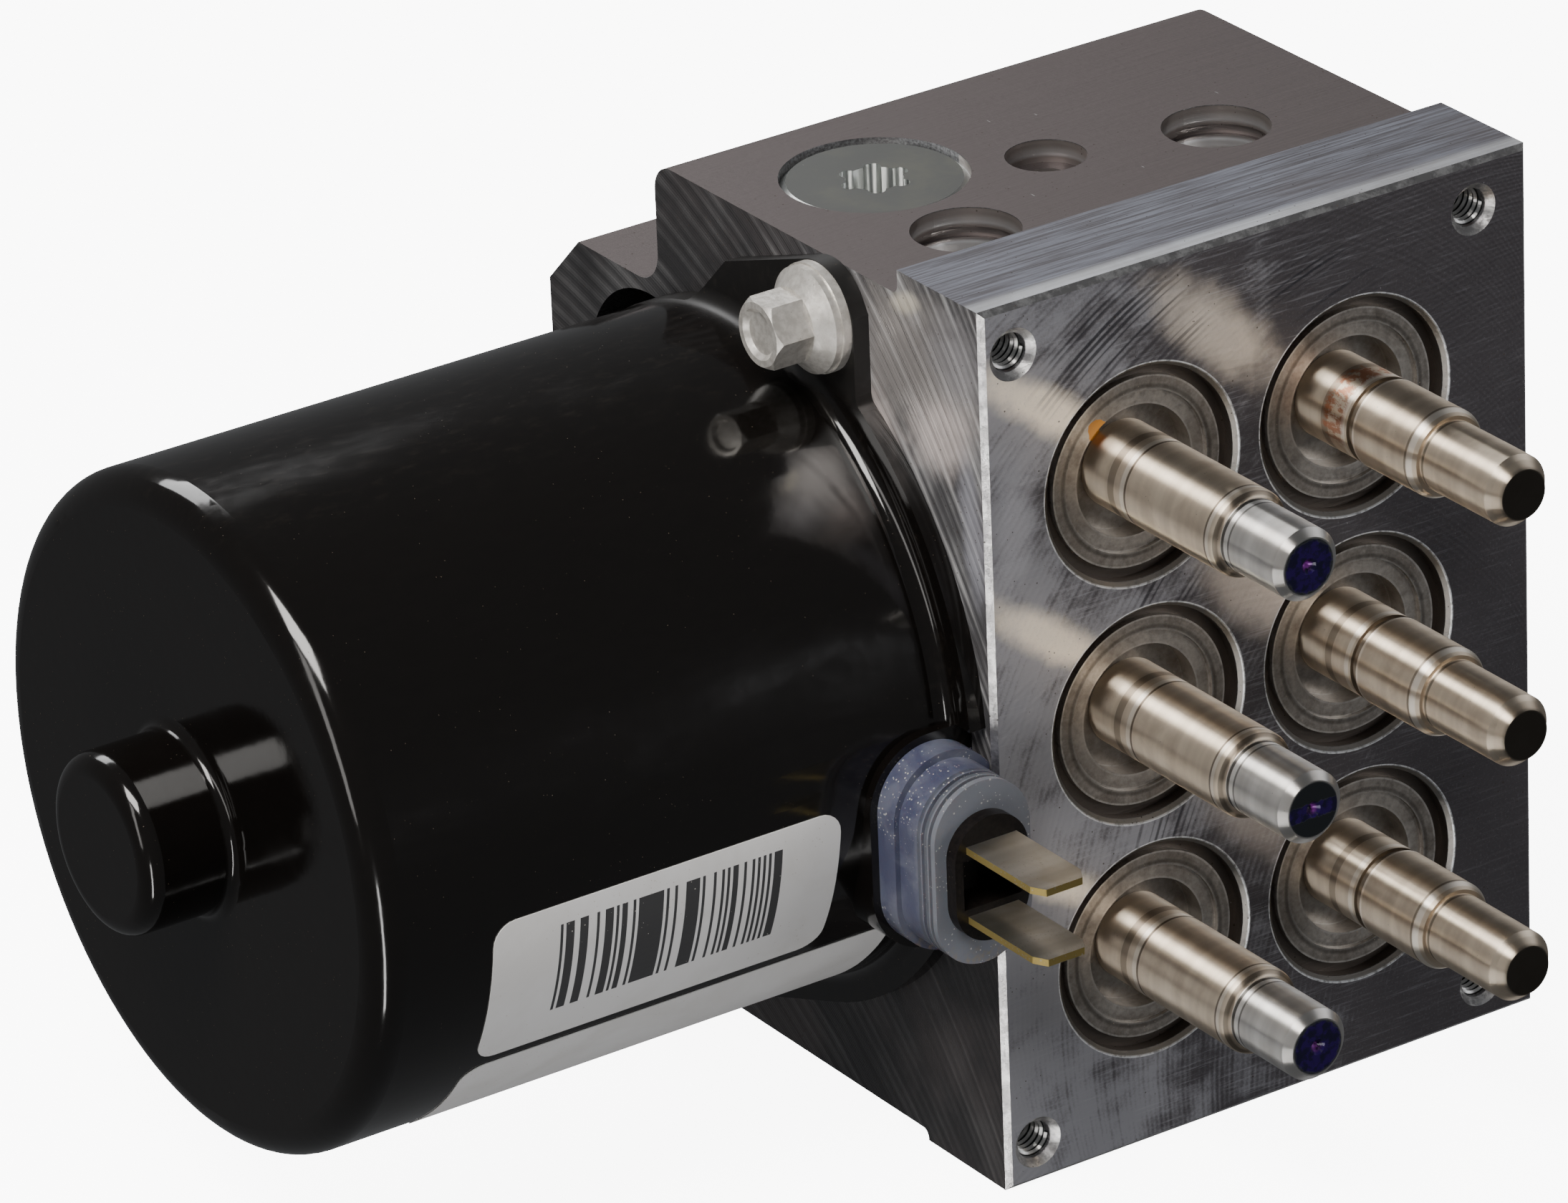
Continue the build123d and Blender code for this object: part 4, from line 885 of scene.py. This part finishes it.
finishes = {
    "can": canMaterial(),
    "plug": plugMaterial(),
    "stem": steelMaterial("warmNickel", sleeveLook)[0],
    "shell": shellMaterial(),
    "core": coreMaterial(),
    "collar": collarMaterial(),
    "inner": steelMaterial("innerSteel", innerLook)[0],
    "grommet": rubberMaterial(),
    "blade": bladeMaterial(),
    "zinc": dullMaterial("zincPlate", (0.76, 0.735, 0.69), (0.54, 0.515, 0.475), 0.34, grain=1.0,
                         metallic=0.6, bump=0.00008),
    "insert": dullMaterial("blackPlastic", (0.009, 0.007, 0.006), (0.004, 0.003, 0.003), 0.35, grain=2.0,
                           specular=0.2),
    "laminations": dullMaterial("varnishedSheets", (0.16, 0.16, 0.17), (0.08, 0.08, 0.09), 0.5, grain=3.0,
                                metallic=0.6),
    "copper": dullMaterial("enamelledWire", (0.62, 0.27, 0.12), (0.36, 0.13, 0.05), 0.3, grain=2.4,
                           metallic=0.8),
    "bronze": dullMaterial("sinteredBronze", (0.50, 0.36, 0.18), (0.34, 0.23, 0.11), 0.5, grain=2.4,
                           metallic=0.8),
    "magnet": dullMaterial("ferrite", (0.10, 0.10, 0.11), (0.05, 0.05, 0.055), 0.7, grain=3.0),
    "card": dullMaterial("brownCard", (0.11, 0.07, 0.045), (0.06, 0.04, 0.025), 0.55, grain=2.0),
    "rubber": dullMaterial("sealRubber", (0.03, 0.03, 0.03), (0.015, 0.015, 0.015), 0.6, grain=2.0),
    "nylon": dullMaterial("cageNylon", (0.62, 0.55, 0.36), (0.5, 0.43, 0.27), 0.45, grain=1.0),
}

piecesOf = {
    "can": "motor_can",
    "zinc": "motor_end_plate motor_bolts motor_bolt_washers accumulator_covers accumulator_piston_upper "
            "accumulator_piston_lower",
    "inner": "brush_springs front_bearing_outer_ring front_bearing_inner_ring front_bearing_balls "
             "motor_shaft eccentric_bearing pump_piston_top pump_piston_bottom pump_spring_top "
             "pump_spring_bottom accumulator_spring_upper accumulator_spring_lower",
    "plug": "pump_plugs",
    "grommet": "terminal_grommet",
    "insert": "terminal_insert",
    "blade": "terminal_blades",
    "laminations": "rotor_core",
    "copper": "rotor_windings commutator",
    "bronze": "rear_bush",
    "magnet": "field_magnets carbon_brushes",
    "card": "brush_card",
    "rubber": "motor_seal",
    "nylon": "front_bearing_cage",
}
valveFinishes = {
    "outlet": {"body": "collar", "sleeve": "stem", "core": "core", "armature": "inner", "spring": "inner"},
    "inlet": {"body": "collar", "shell": "shell", "armature": "inner", "spring": "inner"},
}

nodeFinish = {name: finish for finish, names in piecesOf.items() for name in names.split()}
for valve, parts in valveFinishes.items():
    for row in ("upper", "middle", "lower"):
        nodeFinish.update({f"{valve}_valve_{row}_{part}": finish for part, finish in parts.items()})
for name, finish in nodeFinish.items():
    finishNode(name, finishes[finish])
print("finishes on", len(nodeFinish) + 1, "pieces of the frame")


# pieces that only the scene has

def addObject(bm, name, material):
    mesh = bpy.data.meshes.new(name)
    bm.to_mesh(mesh)
    bm.free()
    mesh.materials.append(material)
    piece = bpy.data.objects.new(name, mesh)
    bpy.context.scene.collection.objects.link(piece)
    return piece


def finishPiece(bm, name, body, material):
    bmesh.ops.remove_doubles(bm, verts=bm.verts, dist=0.000001)
    bmesh.ops.recalc_face_normals(bm, faces=bm.faces)
    piece = addObject(bm, name, material)
    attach(piece, body)
    return piece


# labels on the can: x from the motor's side of the block, angles round the motor axis

labelLook = {
    "upperLabel": {"x": (-58.4, -15.9), "angle": (-177.0, -148.0)},
    "lowerLabel": {"x": (-59.0, -5.8), "angle": (-145.8, -117.5)},
    "bars": {"x": (-51.0, -23.0), "angle": (-173.3, -155.5)},
    "barWidth": 0.34,
    "thickness": 0.09,
    "gap": 0.02,
    "cornerRadius": 2.6,
    "slices": 24,
    "paper": (0.86, 0.85, 0.84),
    "aged": (0.74, 0.72, 0.69),
    "print": (0.02, 0.02, 0.022),
    "dirt": (0.45, 0.38, 0.3),
}


def labelMaterial():
    look = labelLook
    material, tree, shader, place, xyz, normalVector = newMaterial("labelPaper")
    along = minus(tree, xyz[0], motorSideX)
    angle = maths(tree, "ARCTAN2", xyz[2], minus(tree, xyz[1], motorAxisY))
    inBars = times(tree, between(tree, along, look["bars"]["x"]),
                   between(tree, angle, [radians(limit) for limit in look["bars"]["angle"]]))
    pick = dice(tree, maths(tree, "FLOOR", maths(tree, "DIVIDE", along, look["barWidth"])))
    wear = specksOn(tree, place, 2.6, 0.2, 0.5)
    aged = stainsOn(tree, place, 0.07, 0.46)
    ink = times(tree, inBars, above(tree, pick, 0.46), minus(tree, 1.0, wear))
    colour = paint(tree, look["paper"], (aged["Cloud"], 0.5, look["aged"]), (ink, 0.96, look["print"]),
                   (wear, 0.5, look["dirt"]))
    wire(tree, shader, {"Base Color": colour, "Roughness": mixValue(tree, aged["Mottle"], 0.34, 0.5),
                        "Normal": bumpFrom(tree, aged["Mottle"], 0.00001, 0.4)})
    return material


def makeLabel(name, material):
    # cut flat with rounded corners, sliced across, then rolled onto the can
    look = labelLook
    firstX, lastX = look[name]["x"]
    firstAngle, lastAngle = look[name]["angle"]
    inner = canRadius + look["gap"]
    height = radians(lastAngle - firstAngle) * inner
    bm = bmesh.new()
    bmesh.ops.create_grid(bm, x_segments=1, y_segments=1, size=0.5)
    bmesh.ops.scale(bm, verts=bm.verts, vec=(lastX - firstX, height, 1))
    bmesh.ops.bevel(bm, geom=bm.verts[:], offset=look["cornerRadius"], offset_type="OFFSET", segments=6,
                    profile=0.5, affect="VERTICES", material=-1)
    for index in range(1, look["slices"]):
        cut = height * (index / look["slices"] - 0.5)
        bmesh.ops.bisect_plane(bm, geom=bm.verts[:] + bm.edges[:] + bm.faces[:], plane_co=(0, cut, 0),
                               plane_no=(0, 1, 0))
    lifted = bmesh.ops.extrude_face_region(bm, geom=bm.faces[:])
    raised = [part for part in lifted["geom"] if isinstance(part, bmesh.types.BMVert)]
    bmesh.ops.translate(bm, verts=raised, vec=(0, 0, look["thickness"]))
    middleX = motorSideX + (firstX + lastX) / 2
    middleAngle = radians((firstAngle + lastAngle) / 2)
    for vert in bm.verts:
        angle = middleAngle + vert.co.y / inner
        radius = inner + vert.co.z
        vert.co = Vector((middleX + vert.co.x, motorAxisY + radius * cos(angle), radius * sin(angle))) * mm
    return finishPiece(bm, name, "module", material)


paper = labelMaterial()
for labelName in ("upperLabel", "lowerLabel"):
    makeLabel(labelName, paper)
print("labels ready")


# threads in the four corner holes of the valve face

threadLook = {
    "spanX": 58.9, "spanZ": 90.8, "wallRadius": 2.09, "crestRadius": 1.74, "pitch": 0.8,
    "startDepth": 1.0, "turns": 9, "stepsPerTurn": 36,
    "light": (0.92, 0.91, 0.89), "dark": (0.80, 0.79, 0.77), "tint": (0.6, 0.56, 0.52), "rough": 0.4,
    "tintShare": 0.2,
    "root": (0.02, 0.02, 0.02),
    "rootRadius": (1.92, 2.03),
}


def threadMaterial():
    look = threadLook
    material, tree, shader, place, xyz, colour = steelMaterial("cutThread", {**look, "pitch": 0.3})
    across = minus(tree, size(tree, xyz[0]), look["spanX"] / 2)
    up = minus(tree, size(tree, xyz[2]), look["spanZ"] / 2)
    radius = maths(tree, "SQRT", plus(tree, times(tree, across, across), times(tree, up, up)))
    # painted shade in the roots of the thread
    root = rangeOf(tree, radius, *look["rootRadius"])
    wire(tree, shader, {"Base Color": mixColour(tree, root, colour, look["root"])})
    return material


def makeThreads():
    # one turned triangle a hole: wall, crest and wall again, at their shares of the pitch
    look = threadLook
    profile = ((look["wallRadius"], 0.06), (look["crestRadius"], 0.5), (look["wallRadius"], 0.94))
    bm = bmesh.new()
    for sideX in (-0.5, 0.5):
        for sideZ in (-0.5, 0.5):
            centre = Vector((sideX * look["spanX"], 0, sideZ * look["spanZ"])) * mm
            corners = [centre + Vector((radius, look["startDepth"] + share * look["pitch"], 0)) * mm
                       for radius, share in profile]
            face = bm.faces.new([bm.verts.new(corner) for corner in corners])
            bmesh.ops.spin(bm, geom=[face, *face.edges, *face.verts], cent=centre, axis=(0, 1, 0),
                           dvec=(0, look["pitch"] / look["stepsPerTurn"] * mm, 0),
                           angle=2 * pi * look["turns"], steps=look["turns"] * look["stepsPerTurn"],
                           use_duplicate=False)
    return finishPiece(bm, "faceHoleThreads", "module", threadMaterial())


makeThreads()
print("threads ready")


# springs: each coil is copied into a piece of its own, and the frame's node is hidden

def makeSpring(row):
    node = nodes[row["node"]]
    bm = bmesh.new()
    bm.from_mesh(node.data)
    bm.transform(node.matrix_world)
    piece = finishPiece(bm, row["node"] + "_coil", "module", finishes["inner"])
    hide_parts(row["node"])
    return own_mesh(piece)


springs = [makeSpring(row) for joint in frame["joints"] for row in joint.get("deforming_nodes", [])]
print("springs ready:", len(springs))


# floor, lights and camera

floorLook = {
    "height": -0.0502, "size": 6.0, "glow": 9.0,
    "light": (0.94, 0.94, 0.94), "dark": (0.91, 0.91, 0.91),
}


def makeFloor():
    look = floorLook
    material, tree, shader, place, xyz, normalVector = newMaterial("paleFloor")
    colour = mixColour(tree, noiseAt(tree, place, 0.003, 2.0), look["light"], look["dark"])
    wire(tree, shader, {"Base Color": colour, "Roughness": 0.8, "Emission Color": colour,
                        "Emission Strength": look["glow"]})
    bm = bmesh.new()
    bmesh.ops.create_grid(bm, x_segments=2, y_segments=2, size=look["size"] / 2)
    bmesh.ops.translate(bm, verts=bm.verts, vec=(0, 0, look["height"]))
    floor = addObject(bm, "floor", material)
    # it is only a backdrop: it lights and shades nothing
    floor.visible_glossy = False
    floor.visible_diffuse = False
    floor.visible_shadow = False


lamps = [
    # name, place, aimed at, width, height, watts, colour
    ("keyBox", (-0.84, -0.36, 1.42), (0, 0.02, 0), 0.85, 0.66, 39, (1, 0.97, 0.935)),
    ("fillBox", (1.5, -1.5, 0.25), (0, 0, 0), 0.9, 0.7, 10, (0.96, 0.97, 1)),
    ("rearBox", (0.2, 1.6, 1.3), (0, 0, 0), 1.2, 0.7, 22, (1, 1, 1)),
    ("stripBox", (-1.4, -0.3, 0.5), (-0.07, 0.04, 0), 0.25, 1.2, 4, (1, 0.97, 0.94)),
    ("lowStrip", (-0.95, -0.8, -0.68), (-0.06, 0.02, 0), 0.12, 0.9, 6, (1, 0.985, 0.97)),
]
roomLight = {"Color": (0.9, 0.92, 0.95), "Strength": 0.14}


def makeLights():
    for name, place, target, width, height, watts, colour in lamps:
        data = bpy.data.lights.new(name, "AREA")
        data.shape = "RECTANGLE"
        data.size = width
        data.size_y = height
        data.energy = watts
        data.color = colour
        lamp = bpy.data.objects.new(name, data)
        lamp.location = place
        lamp.rotation_euler = (Vector(target) - Vector(place)).to_track_quat("-Z", "Y").to_euler()
        bpy.context.scene.collection.objects.link(lamp)
    world = bpy.data.worlds.new("studio")
    world.use_nodes = True
    wire(world.node_tree, world.node_tree.nodes["Background"], roomLight)
    bpy.context.scene.world = world


view = {"place": (-0.5598, -0.7687, 0.4603), "azimuth": -33.113, "elevation": 25.309, "roll": -2.467,
        "lens": 231.1, "sensor": 36.0, "nearest": 0.05}


def makeCamera():
    data = bpy.data.cameras.new("camera")
    data.lens = view["lens"]
    data.sensor_width = view["sensor"]
    data.clip_start = view["nearest"]
    camera = bpy.data.objects.new("camera", data)
    azimuth = radians(view["azimuth"])
    elevation = radians(view["elevation"])
    back = Vector((sin(azimuth) * cos(elevation), -cos(azimuth) * cos(elevation), sin(elevation)))
    right = (-back).cross(Vector((0, 0, 1))).normalized()
    turn = Matrix.Rotation(radians(view["roll"]), 3, back)
    axes = Matrix((turn @ right, turn @ back.cross(right), back)).transposed()
    camera.matrix_world = Matrix.Translation(Vector(view["place"])) @ axes.to_4x4()
    bpy.context.scene.collection.objects.link(camera)
    bpy.context.scene.camera = camera


makeFloor()
makeLights()
makeCamera()
print("floor, lights and camera ready")
